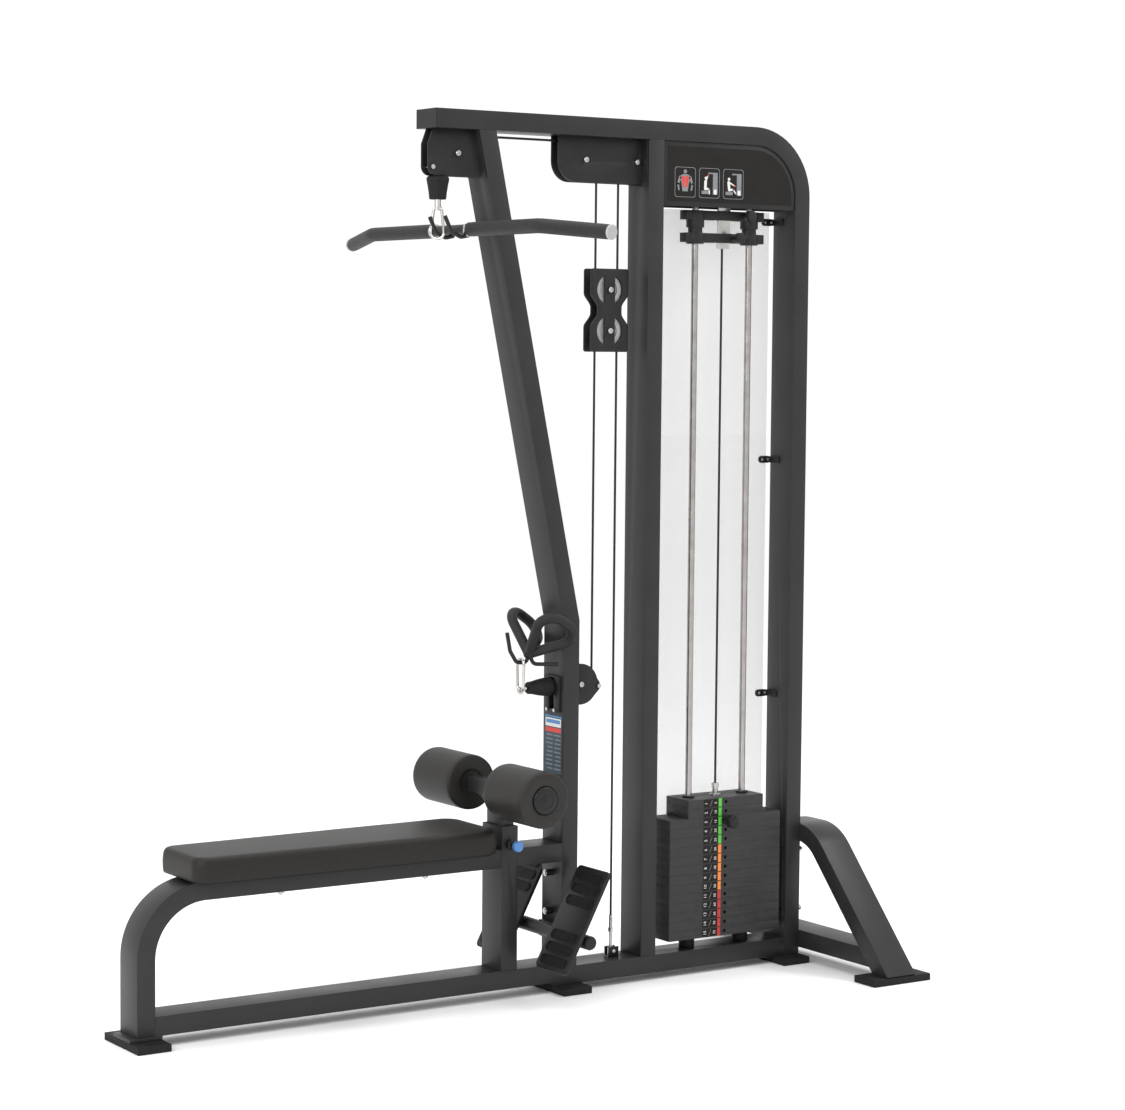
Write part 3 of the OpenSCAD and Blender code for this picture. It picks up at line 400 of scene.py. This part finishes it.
def bolt_head(name, place, axis, radius, height, body, surface=STEEL, around=24):
    """A domed head with a hexagon socket; place is where it meets the surface, in mm."""
    axis = Vector(axis).normalized()
    side = axis.orthogonal().normalized()
    other = axis.cross(side)
    rings = [(radius * 0.98, 0.0, 0), (radius, 0.3, 0), (radius, height * 0.45, 0), (radius * 0.9, height * 0.8, 0),
             (radius * 0.68, height, 0), (radius * 0.5, height, 1), (radius * 0.5, height * 0.35, 1)]
    vertices = []
    for r, h, hexagon in rings:
        for i in range(around):
            a = 2 * math.pi * i / around
            reach = r
            if hexagon:
                within = (a % (math.pi / 3)) - math.pi / 6
                reach = r * math.cos(math.pi / 6) / math.cos(within)
            vertices.append((Vector(place) + (side * math.cos(a) + other * math.sin(a)) * reach + axis * h) * MM)
    return piece(name, vertices, rings_to_faces(len(rings), around), surface, body, True, 30)


# ------------------------------------------------------------------ frame tubes and plates

for tube_node in ("base_rails", "bench_frame", "bench_post", "bench_link", "main_arch", "mid_upright", "stabiliser"):
    refined(tube_node, PAINT, 5.0, 3)
refined("front_post", PAINT, 5.0, 3, weld=0.12,
        inner=lambda p, normal: 1000 < p.z < 1020 and abs(normal.z) > 0.9)
refined("footrest_tube", PAINT, 1.5)
refined("foot_pads", RUBBER, 1.2)
refined("footplates", PLASTIC, 2.5, 3)
refined("block_plates", DARK_PAINT, 0.7)
refined("high_pulley_bracket", DARK_PAINT, 0.8)
refined("transfer_bracket", DARK_PAINT, 0.8)
refined("low_pulley_housing", DARK_PAINT, 0.8)
refined("stack_pulley_bracket", STEEL, 0.4)
refined("weight_plates", IRON, 1.6)
refined("lifted_plates", IRON, 1.6)
refined("increment_weights", DARK_PAINT, 1.5)
refined("side_covers", COVER, 1.0)
refined("shield_clips", PLASTIC, 0.8)
anchor = refined("cable_anchor", STEEL, 0.8)
refined("rod_buffers", RUBBER, 1.5)
refined("roller_post", PAINT, 2.0)
refined("pop_pin_barrel", DARK_PAINT, 0.8)

for kept, surface in {
    "seat_board": BOARD, "frame_fasteners": STEEL, "pulley_axles": STEEL, "guide_rods": BRUSHED,
    "rear_shield": CLEAR, "end_caps": PLASTIC, "high_pulley": NYLON, "front_transfer_pulley": NYLON,
    "rear_transfer_pulley": NYLON, "stack_pulley": NYLON, "low_pulley": NYLON, "guide_roller": NYLON,
    "block_bolts": STEEL, "block_upper_pulley": NYLON, "block_lower_pulley": NYLON, "stack_bushes": PLASTIC,
    "selector_stem": STEEL, "selector_pin": PLASTIC, "pop_pin_plunger": BLUE, "lat_stop": RUBBER,
    "row_stop": RUBBER, "lat_carabiner": CHROME, "row_carabiner": CHROME,
}.items():
    painted(kept, surface)

# The clevis below the anchor rod, the sleeves of the post studs and the ring of the end plug are black.
RAIL_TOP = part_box("cable_anchor")[0].z / MM
TUBE_T = 50  # thickness of the frame tube
POST_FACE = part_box("front_post")[1].x / MM - TUBE_T
repainted(anchor, PLASTIC, lambda p: p.z < RAIL_TOP + 29 and (abs(p.y) > 6.9 or p.z < RAIL_TOP + 4.5)
          and not (abs(p.y) > 11.2 and p.z > RAIL_TOP + 9))
repainted(NODES["frame_fasteners"], PLASTIC,
          lambda p: POST_FACE - 22.8 < p.x < POST_FACE + 1 and abs(p.y) < 12 and p.z < 400)

# ------------------------------------------------------------------ seat pad

pad_low, pad_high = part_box("seat_pad")
PAD_BACK, PAD_FRONT = pad_low.x / MM, pad_high.x / MM
PAD_Z0, PAD_Z1 = pad_low.z / MM, pad_high.z / MM
PAD_WIDE = pad_high.y / MM
PAD_NARROW = PAD_WIDE - 14


def pad_outline(inset, count=240):
    """The pad's plan at an inset from its edge, as points at even steps along a fixed order."""
    corners = []
    for x, y, r, start in ((PAD_FRONT, PAD_WIDE, 55, 0), (PAD_BACK, PAD_NARROW, 42, 90),
                           (PAD_BACK, -PAD_NARROW, 42, 180), (PAD_FRONT, -PAD_WIDE, 55, 270)):
        r_in = max(r - inset, 4)
        cx = x - math.copysign(inset + r_in, x - (PAD_BACK + PAD_FRONT) / 2)
        cy = math.copysign(max(abs(y) - inset - r_in, 0.5), y)
        corners.append((cx, cy, r_in, start))
    out = []
    per = count // 8
    for index, (cx, cy, r, start) in enumerate(corners):
        arc = [(cx + r * math.cos(math.radians(start + 90 * k / per)),
                cy + r * math.sin(math.radians(start + 90 * k / per))) for k in range(per + 1)]
        out += arc
        nx, ny, nr, nstart = corners[(index + 1) % 4]
        goal = (nx + nr * math.cos(math.radians(nstart)), ny + nr * math.sin(math.radians(nstart)))
        out += [(arc[-1][0] + (goal[0] - arc[-1][0]) * k / per, arc[-1][1] + (goal[1] - arc[-1][1]) * k / per)
                for k in range(1, per)]
    return out


def seat_cushion():
    side = [(16, 0.6), (9, 0.2), (3.5, 1.6), (1.0, 5), (0.4, 12), (0.0, 24), (0.2, 36), (1.0, 47), (2.6, 54.5),
            (5.6, 60), (10, 63.4), (16, 65.2)]
    rings = [(inset, height) for inset, height in side]
    for k in range(1, 15):
        s = k / 14
        rings.append((16 + (PAD_NARROW - 17) * s, 65.2 + 1.7 * (1 - (1 - s) ** 2)))
    vertices = []
    for level, (inset, height) in enumerate(rings):
        for x, y in pad_outline(inset):
            soft = noise.noise(Vector((x * 0.012, y * 0.012, height * 0.02)))
            ease = 0.5 * soft if 2 < level else 0.1 * soft
            corner = min(1.0, max(0.0, (abs(y) - PAD_NARROW + 45) / 40)) if 3 < level < 9 else 0
            near_end = max(0.0, 1 - min(x - PAD_BACK, PAD_FRONT - x) / 60)
            pucker = 0.5 * corner * near_end * math.sin((x + y) * 0.55) * (1 - height / 66)
            shift = 1 - (max(ease + 0.5, 0) + pucker) / 130 if 2 < level < 10 else 1
            vertices.append(Vector((PAD_BACK + 444.5 + (x - PAD_BACK - 444.5) * (1 - (1 - shift) * 0.3), y * shift,
                                    PAD_Z0 + height + (ease * 0.5 if level >= 10 else 0))) * MM)
    size = len(pad_outline(0))
    cushion = piece("seat_cushion", vertices, rings_to_faces(len(rings), size), VINYL, "frame", True, 60)
    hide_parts("seat_pad")
    return cushion


seat_cushion()

# ------------------------------------------------------------------ foam rollers

for side_name, sign in (("left", 1), ("right", -1)):
    node = f"foam_roller_{side_name}"
    low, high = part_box(node)
    mid = (low + high) / 2
    inner = low.y if sign > 0 else high.y
    start = (mid.x, inner, mid.z)
    reach = (high.y - low.y) / MM
    r = (high.z - low.z) / MM / 2
    body = BODY[node]
    foam_end = reach - 6
    sleeve = [(13.0, 4.5), (26, 4.5), (33, 4.0), (35.5, 1.2), (40, 0.2), (r - 9, 0.15), (r - 4, 1.2), (r - 1.2, 4.0),
              (r - 0.15, 9), (r, 22), (r - 0.25, foam_end * 0.3), (r - 0.05, foam_end * 0.5),
              (r - 0.25, foam_end * 0.7), (r, foam_end - 22), (r - 0.15, foam_end - 9), (r - 1.2, foam_end - 4),
              (r - 4, foam_end - 1.2), (r - 9, foam_end - 0.15), (42, foam_end - 0.3), (38.5, foam_end - 1.4),
              (37, foam_end - 4), (13.0, foam_end - 4.4)]
    roll = turned(node + ".sleeve", sleeve, start, (0, sign, 0), FOAM, body, 96, 60)
    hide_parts(node)
    cap = [(0, foam_end - 4.2), (36.0, foam_end - 4.2), (36.4, foam_end - 2), (35.2, foam_end + 1.6),
           (32.5, foam_end + 3.4), (26, foam_end + 4.6), (19.5, foam_end + 5.3), (18.6, foam_end + 4.7),
           (17.6, foam_end + 5.4), (8, foam_end + 5.9), (0, foam_end + 5.95)]
    turned(node + ".cap", cap, start, (0, sign, 0), PLASTIC, body, 64, 50)

# ------------------------------------------------------------------ cables

high = centre("high_pulley") / MM
front_wheel = centre("front_transfer_pulley") / MM
rear_wheel = centre("rear_transfer_pulley") / MM
stack_wheel = centre("stack_pulley") / MM
low_wheel = centre("low_pulley") / MM
guide = centre("guide_roller") / MM
upper_block = centre("block_upper_pulley") / MM
lower_block = centre("block_lower_pulley") / MM
CABLE_R = 3.25
BIG, SMALL, GUIDE = 48.0, 36.0, 8.0  # radii of the cable's centre on its pulleys
top_z = high.z + BIG
row_z = guide.z + GUIDE
run_x = (front_wheel.x + BIG, rear_wheel.x - BIG)


def cable(name, points, node, body="frame"):
    line = tube(name, points, CABLE_R, CABLE, body, 16, sharp=None)
    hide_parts(node)
    return line


def stretching(name, a, b, node):
    """A straight run from a on the frame to b on a moving body, built at its present length and attached to no body."""
    line = tube(name, straight(a, b, 25), CABLE_R, CABLE, None, 16, sharp=None)
    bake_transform(line)
    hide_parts(node)
    return line


cable("lat_cable_top", turn(high.x, high.z, BIG, 180, 90)
      + straight((high.x + 1, 0, top_z), (front_wheel.x - 1, 0, top_z), 60)
      + turn(front_wheel.x, high.z, BIG, 90, 0), "cable_fixed_runs")
cable("row_cable_top", turn(rear_wheel.x, high.z, BIG, 180, 90)
      + straight((rear_wheel.x + 1, 0, top_z), (stack_wheel.x - 1, 0, top_z), 60)
      + turn(stack_wheel.x, high.z, BIG, 90, 0), "cable_fixed_runs")
gap = low_wheel - guide
cross = math.degrees(math.atan2(gap.z, gap.x) + math.acos((BIG + GUIDE) / math.hypot(gap.x, gap.z)))
cable("row_cable_low", turn(guide.x, guide.z, GUIDE, 90, cross, 10)
      + turn(low_wheel.x, low_wheel.z, BIG, 180 + cross, 360), "cable_fixed_runs")
stretching("lat_cable_drop", (high.x - BIG, 0, high.z), (high.x - BIG, 0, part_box("lat_stop")[1].z / MM - 1),
           "cable_lat_drop")
stretching("row_cable_pull", (guide.x, 0, row_z), (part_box("row_stop")[1].x / MM - 1, 0, row_z), "cable_row_pull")
stretching("stack_cable_drop", (stack_wheel.x + BIG, 0, high.z),
           (stack_wheel.x + BIG, 0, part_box("selector_stem")[1].z / MM - 1), "cable_stack_drop")
for number, x in enumerate(run_x):
    stretching(f"block_run_upper_{number}", (x, 0, high.z), (x, 0, upper_block.z), "cable_block_runs")
anchor_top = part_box("cable_anchor")[1].z / MM
for number, (x, z) in enumerate(zip(run_x, (low_wheel.z, anchor_top - 4))):
    stretching(f"block_run_lower_{number}", (x, 0, z), (x, 0, lower_block.z), "cable_block_runs")
cable("block_turn_upper", turn(upper_block.x, upper_block.z, SMALL, 180, 360), "block_cable_turns", "pulley_block")
cable("block_turn_lower", turn(lower_block.x, lower_block.z, SMALL, 0, 180), "block_cable_turns", "pulley_block")

# ------------------------------------------------------------------ lat bar

lat_x = high.x - BIG
BAR_X, BAR_Z = -175.0, 2052.0  # the bar's straight middle
bend = Vector((BAR_X, 420, BAR_Z))
tip = Vector((BAR_X + 65, 651, BAR_Z - 21))
body = BODY["lat_bar"]
core = tube("lat_bar.core", straight((BAR_X, -90, BAR_Z), (BAR_X, 90, BAR_Z), 30), 14, DARK_PAINT, body, 32)
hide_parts("lat_bar")
for side_name, sign in (("left", 1), ("right", -1)):
    route = rounded_path([(BAR_X, sign * 92, BAR_Z), (bend.x, sign * bend.y, bend.z),
                          (tip.x, sign * (tip.y - 6), tip.z + 0.6)], 110, 14)
    points = [route[0]]
    for a, b in zip(route, route[1:]):
        points += straight(a, b, 14)[1:]
    radii = [18.9 if 0 < k < len(points) - 1 else 17.8 for k in range(len(points))]
    tube(f"lat_bar.grip_{side_name}", points, 18.9, GRIP, body, 32, radii=radii)
    ring = [(14, -2), (18.2, -2), (19.2, -1), (19.4, 3), (19.0, 7), (14, 7)]
    place = Vector((BAR_X, sign * 85, BAR_Z)) * MM
    turned(f"lat_bar.collar_{side_name}", ring, place, (0, sign, 0), CHROME, body)
    way = (tip - bend).normalized()
    way.y *= sign
    spot = Vector((tip.x, sign * tip.y, tip.z))
    cap = [(14, -9), (18.4, -8), (19.0, -6), (19.0, -2), (17.5, -0.6), (9, -0.1), (0, 0)]
    turned(f"lat_bar.end_{side_name}", cap, spot * MM, way, NYLON, body)
for number, y in enumerate((0, -77)):
    hook = rounded_path([(lat_x - 24, y, BAR_Z + 33), (lat_x - 4, y, BAR_Z - 7), (lat_x + 24, y, BAR_Z - 20),
                         (BAR_X + 4, y, BAR_Z - 15)], 14, 6)
    tube(f"lat_bar.hook_{number}", hook, 5.4, DARK_PAINT, body, 16)
    bead = [(BAR_X + 4 * math.cos(t) * 1.6, y + 6.5 * math.sin(t), BAR_Z - 13.2 - 0.8 * abs(math.cos(t)))
            for t in (2 * math.pi * k / 20 for k in range(20))]
    tube(f"lat_bar.weld_{number}", bead, 1.8, DARK_PAINT, body, 8, True)

# ------------------------------------------------------------------ row handle

# Corners of the handle's left loop; the loops meet at the hub
HUB, TOP, BACK = Vector((74, 0, 925)), Vector((54, 102, 1061)), Vector((183, 102, 972))
body = BODY["row_handle"]
first = None
for side_name, sign in (("left", 1), ("right", -1)):
    side = Vector((1, sign, 1))
    route = rounded_path([HUB, TOP * side, BACK * side, HUB + Vector((2, 0, 0))], 40, 14)
    points = [route[0]]
    for a, b in zip(route, route[1:]):
        points += straight(a, b, 10)[1:] if (b - a).length > 20 else [b]
    loop = tube(f"row_handle.loop_{side_name}", points, 13.8, GRIP, body, 32)
    first = first or loop
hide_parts("row_handle")
HUB_R = 15.2
hub = [(0, -HUB_R)]
hub += [(HUB_R * math.sin(math.radians(t)), -HUB_R * math.cos(math.radians(t))) for t in range(15, 180, 15)]
hub += [(0, HUB_R)]
turned("row_handle.hub", hub, HUB * MM, (0, 0, 1), DARK_PAINT, body, 40, 60)
hook = rounded_path([(8, 6, 984), (18, 6, 934), (36, 2, 903), (66, 0, 901), (74, 0, 925)], 14, 8)
tube("row_handle.hook", hook, 5.4, DARK_PAINT, body, 16)
tail = rounded_path([(74, 0, 925), (84, -8, 897), (140, -44, 897)], 14, 8)
tube("row_handle.tail", tail, 5.4, DARK_PAINT, body, 16)

# ------------------------------------------------------------------ bolts

NUT_FACE = 24.2  # end faces of the axles and block bolts, from the middle plane
for name, spot, rider in (("high", high, "frame"), ("front_transfer", front_wheel, "frame"),
                          ("rear_transfer", rear_wheel, "frame"), ("low", low_wheel, "frame"),
                          ("block_upper", upper_block, "pulley_block"), ("block_lower", lower_block, "pulley_block")):
    for sign in (-1, 1):
        place = (spot.x, sign * NUT_FACE, spot.z)
        bolt_head(f"{name}_bolt_{sign + 1}", place, (0, sign, 0), 7.6, 2.4, rider)

clip_low, clip_high = (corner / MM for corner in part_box("shield_clips"))
for number, z in enumerate((clip_low.z + 10, 1435, clip_high.z - 10)):
    for x in (clip_high.x - 28, clip_high.x - 8):
        bolt_head(f"clip_bolt_{number}_{int(x)}", (x, clip_high.y - 4.4, z), (0, -1, 0), 4.4, 1.6, "frame")
for number, z in enumerate((150, 320)):
    bolt_head(f"stack_end_bolt_{number}", (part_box("mid_upright")[1].x / MM, 0, z), (1, 0, 0), 6.0, 2.0, "frame")

# ------------------------------------------------------------------ weight stack labels

PLATES, KEPT = 15, 12  # plates in the stack, and those that stay down
STACK_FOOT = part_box("weight_plates")[0].z / MM
STACK_X = stack_wheel.x + BIG
PITCH = (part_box("lifted_plates")[1].z / MM + 0.4 - STACK_FOOT) / PLATES
FRONT_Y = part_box("weight_plates")[0].y / MM


def number_mesh(text, size):
    curve = bpy.data.curves.new("number", "FONT")
    curve.body = text
    curve.size = size * MM
    curve.align_x = "CENTER"
    curve.align_y = "CENTER"
    curve.extrude = 0.00012
    curve.resolution_u = 2
    thing = bpy.data.objects.new("number", curve)
    bpy.context.scene.collection.objects.link(thing)
    bpy.context.view_layer.update()
    mesh = bpy.data.meshes.new_from_object(thing.evaluated_get(bpy.context.evaluated_depsgraph_get()))
    bpy.data.objects.remove(thing)
    return mesh


for k in range(PLATES):
    z = STACK_FOOT + (k + 0.5) * PITCH - 0.2
    rider = "frame" if k < KEPT else "lifted_stack"
    place = PLATES - k
    ground = rounded_outline(STACK_X - 77.4, STACK_X - 26.4, z - 11.2, z + 11.2, 1.5, 3)
    flat(f"label_{place:02d}", ground, FRONT_Y - 0.35, 0.3, DECAL, rider)
    band = BAND_GREEN if k >= 10 else BAND_ORANGE if k >= 5 else BAND_RED
    edge = [(STACK_X - 26, z - 11.6), (STACK_X - 14.5, z - 11.6), (STACK_X - 15.5, z - 5), (STACK_X - 15.5, z + 5),
            (STACK_X - 14.5, z + 11.6), (STACK_X - 26, z + 11.6)]
    flat(f"band_{place:02d}", edge, FRONT_Y - 0.45, 0.4, band, rider)
    slash = [(STACK_X - 56, z - 8.6), (STACK_X - 54.6, z - 8.6), (STACK_X - 47, z + 8.6), (STACK_X - 48.4, z + 8.6)]
    flat(f"slash_{place:02d}", slash, FRONT_Y - 0.5, 0.2, PRINT_GREY, rider)
    for half_name, x, text, size in (("a", -68.5, str(place), 13.5), ("b", -35.5, str(place * 5), 11.0)):
        mesh = number_mesh(text, size)
        spin = Matrix.Rotation(math.pi / 2, 4, "X") @ Matrix.Rotation(math.pi / 2, 4, "Z")
        mesh.transform(Matrix.Translation(Vector((STACK_X + x, FRONT_Y - 0.55, z)) * MM) @ spin)
        mark = bpy.data.objects.new(f"number_{half_name}_{place:02d}", mesh)
        bpy.context.scene.collection.objects.link(mark)
        finish_piece(mark, PRINT_WHITE, rider, False)

# ------------------------------------------------------------------ header panel

cover_low, cover_high = (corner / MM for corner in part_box("side_covers"))
PANEL_Y = cover_low.y - 0.35
px0, px1 = cover_low.x + 12, cover_high.x - 12
pz0, pz1 = cover_low.z + 13, cover_high.z - 13
curve_r = 126.0  # rounded corner of the printed ground
outline = [(px0, pz0), (px1, pz0)]
outline += [(px1 - curve_r + curve_r * math.cos(math.radians(a)), pz1 - curve_r + curve_r * math.sin(math.radians(a)))
            for a in range(0, 91, 6)]
outline += [(px0, pz1)]
flat("panel_ground", outline, PANEL_Y, 0.3, DECAL, "frame")
flat("panel_ground_back", outline, -PANEL_Y, 0.3, DECAL, "frame", 1)


def blob(name, points, surface, depth=0.0):
    flat(name, points, PANEL_Y - 0.3 - depth, 0.25, surface, "frame")


def disc(name, x, z, r, surface, depth=0.0):
    turns = [2 * math.pi * k / 20 for k in range(20)]
    blob(name, [(x + r * math.cos(t), z + r * math.sin(t)) for t in turns], surface, depth)


def limb(name, a, b, wide_a, wide_b, surface, depth=0.0):
    a, b = Vector(a), Vector(b)
    along = (b - a).normalized()
    side = Vector((-along.y, along.x))
    points = []
    for end, wide, start in ((b, wide_b, -90), (a, wide_a, 90)):
        for k in range(9):
            t = math.radians(start + 180 * k / 8)
            points.append(tuple(end + along * math.cos(t) * wide / 2 + side * math.sin(t) * wide / 2))
    blob(name, points, surface, depth)


fw, fh = 70.0, 82.0  # width and height of one pictogram
frame_z = pz0 + 12
for index in range(3):
    x0 = px0 + 24 + index * (fw + 12)
    ring = rounded_outline(x0, x0 + fw, frame_z, frame_z + fh, 8)
    frame_line(f"panel_frame_{index}", ring, 1.3, PANEL_Y - 0.3, PRINT_GREY, "frame")
    mid_x, low_z = x0 + fw / 2, frame_z
    if index == 0:
        half_back = [(9, 16), (12, 38), (18, 52), (14, 60), (5, 63)]
        blob("figure_back", [(mid_x - 9, low_z + 16)] + [(mid_x + x, low_z + z) for x, z in half_back]
             + [(mid_x - x, low_z + z) for x, z in half_back[:0:-1]], PRINT_GREY)
        disc("figure_head_a", mid_x, low_z + 70, 5.5, PRINT_GREY)
        for s in (-1, 1):
            limb(f"figure_arm_a{s + 1}", (mid_x + s * 17, low_z + 54), (mid_x + s * 24, low_z + 36), 8, 6, PRINT_GREY)
            limb(f"figure_arm_b{s + 1}", (mid_x + s * 24, low_z + 36), (mid_x + s * 21, low_z + 20), 6, 4.5, PRINT_GREY)
            muscle = [(1.5, 24), (7, 30), (11, 44), (13, 54), (4, 59), (1.5, 56)]
            blob(f"figure_lat{s + 1}", [(mid_x + s * x, low_z + z) for x, z in muscle], PRINT_RED, 0.25)
    else:
        back_x = mid_x + 12
        blob(f"machine_{index}", [(back_x, low_z + 10), (back_x + 16, low_z + 10), (back_x + 16, low_z + 70),
                                  (mid_x - 4, low_z + 70), (mid_x - 4, low_z + 66), (back_x, low_z + 66)], PRINT_GREY)
        blob(f"machine_stack_{index}", [(back_x + 3, low_z + 11), (back_x + 13, low_z + 11), (back_x + 13, low_z + 24),
                                        (back_x + 3, low_z + 24)], PRINT_WHITE, 0.25)
        blob(f"machine_bench_{index}", [(mid_x - 26, low_z + 11), (mid_x - 2, low_z + 11), (mid_x - 2, low_z + 20),
                                        (mid_x - 26, low_z + 20)], PRINT_GREY)
        seat = Vector((mid_x - 14, low_z + 25))
        chest = seat + Vector((1 if index == 1 else -2, 20))
        limb(f"body_{index}", seat, chest, 8, 9, PRINT_WHITE, 0.2)
        disc(f"head_{index}", chest.x + 1, chest.y + 9.5, 4.2, PRINT_WHITE, 0.2)
        hand = Vector((mid_x - 5, low_z + 62)) if index == 1 else Vector((mid_x + 5, low_z + 36))
        limb(f"arm_{index}", chest + Vector((1, 1)), hand, 4, 3, PRINT_WHITE, 0.4)
        knee = seat + (Vector((13, 0)) if index == 1 else Vector((14, 1)))
        foot = knee + (Vector((1, -13)) if index == 1 else Vector((8, -10)))
        limb(f"thigh_{index}", seat, knee, 7, 5, PRINT_WHITE, 0.4)
        limb(f"shin_{index}", knee, foot, 4.5, 3.5, PRINT_WHITE, 0.4)
        disc(f"grip_{index}", hand.x, hand.y, 2.6, PRINT_RED, 0.6)

# ------------------------------------------------------------------ post label

POST_X = POST_FACE - 0.3
for name, y0, y1, z0, z1, surface, lift in (
        ("label_ground", -42, 42, 595, 752, PRINT_NAVY, 0.0), ("label_line", -42, 42, 748, 752, PRINT_BLUE, 0.15),
        ("label_white", -38, 38, 722, 745, PRINT_WHITE, 0.15), ("label_blue", -34, 34, 731, 741, PRINT_BLUE, 0.3),
        ("label_red", -38, 38, 707, 719, PRINT_RED, 0.15)):
    flat_x(name, rounded_outline(y0, y1, z0, z1, 1.5, 3), POST_X - lift, 0.28, surface, "frame")
for row in range(9):
    z = 697 - row * 11.5
    for column, (y0, y1) in enumerate(((-36, -4), (2, 36))):
        short = (row * 7 + column * 5) % 9
        flat_x(f"label_row_{row}_{column}", [(y0, z), (y1 - short, z), (y1 - short, z + 3.6), (y0, z + 3.6)],
               POST_X - 0.15, 0.25, PRINT_GREY, "frame")
    flat_x(f"label_dot_{row}", rounded_outline(-41, -38.4, z, z + 2.6, 1.2, 3), POST_X - 0.15, 0.25, PRINT_RED, "frame")

# ------------------------------------------------------------------ footplate treads

foot_low, foot_high = (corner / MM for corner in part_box("footplates"))
lean = math.radians(28.1)  # lean of the footplates from the vertical
plate_x = (foot_low.x + foot_high.x) / 2 - 5 * math.cos(lean)
plate_z = (foot_low.z + foot_high.z) / 2 + 5 * math.sin(lean)
plate_y = foot_high.y - 75  # the plates are 150 wide
up_plate = Vector((math.sin(lean), 0, math.cos(lean)))
out_plate = Vector((-math.cos(lean), 0, math.sin(lean)))
for side_name, sign in (("right", 1), ("left", -1)):
    base = Vector((plate_x, -plate_y * sign, plate_z))
    for index, s in enumerate((-122, -86, -50, 50, 86, 122)):
        ring = []
        for k in range(41):
            a = 2 * math.pi * k / 40
            y = 46 * (1 if math.cos(a) > 0 else -1) + 13 * math.cos(a)
            ring.append((base + up_plate * (s + 13 * math.sin(a)) + Vector((0, y, 0)) + out_plate * 1.6))
        tube(f"tread_{side_name}_{index}", ring[:-1], 1.5, TREAD, "frame", 10, True)
        for line in range(-3, 4):
            reach = 52 if abs(line) < 3 else 47
            a = base + up_plate * (s + line * 3.2) + out_plate * 0.6
            points = straight(a + Vector((0, -reach, 0)), a + Vector((0, reach, 0)), 40)
            tube(f"rib_{side_name}_{index}_{line + 3}", points, 1.35, TREAD, "frame", 8)
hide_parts("footplate_treads")

# ------------------------------------------------------------------ floor, light and camera

floor_mesh = bpy.data.meshes.new("floor")
reach = 40.0
corners = [(-reach, -reach), (reach, -reach), (reach, reach), (-reach, reach)]
floor_mesh.from_pydata([(x, y, -0.0005) for x, y in corners], [], [(0, 1, 2, 3)])
floor = bpy.data.objects.new("floor", floor_mesh)
bpy.context.scene.collection.objects.link(floor)
floor.data.materials.append(material("floor_pale", (0.955, 0.955, 0.955), (0.965, 0.965, 0.965), (0.85, 0.95), 0.0, 2))

world = bpy.data.worlds.new("studio")
world.use_nodes = True
world.node_tree.nodes["Background"].inputs["Color"].default_value = (1.0, 1.0, 1.0, 1)
world.node_tree.nodes["Background"].inputs["Strength"].default_value = 1.04
bpy.context.scene.world = world
bpy.context.scene.view_settings.view_transform = "Standard"


def area(name, place, target, width, height, power):
    data = bpy.data.lights.new(name, "AREA")
    data.shape = "RECTANGLE"
    data.size, data.size_y = width, height
    data.energy = power
    lamp = bpy.data.objects.new(name, data)
    lamp.location = place
    lamp.rotation_euler = (Vector(target) - Vector(place)).to_track_quat("-Z", "Y").to_euler()
    bpy.context.scene.collection.objects.link(lamp)


area("key", (-5.2, -2.4, 3.8), (0, 0, 1.0), 3.0, 3.0, 150)
area("top", (0.0, 0.5, 6.0), (0, 0, 1.0), 4.0, 3.0, 110)
area("rim", (3.2, -1.4, 4.4), (1.0, -0.2, 0.4), 0.8, 1.2, 60)

camera_data = bpy.data.cameras.new("camera")
camera_data.sensor_width = 36.0
camera_data.sensor_fit = "HORIZONTAL"
camera_data.lens = 92.52
camera = bpy.data.objects.new("camera", camera_data)
across, above = Vector((0.83509, -0.55004, 0.00895)), Vector((0.03233, 0.06531, 0.99734))
ahead = Vector((0.54916, 0.83258, -0.07233))
turned_frame = Matrix((across, above, -ahead)).transposed().to_4x4()
camera.matrix_world = Matrix.Translation((-4.1195, -6.5184, 1.7543)) @ turned_frame
bpy.context.scene.collection.objects.link(camera)
bpy.context.scene.camera = camera

bpy.context.view_layer.update()
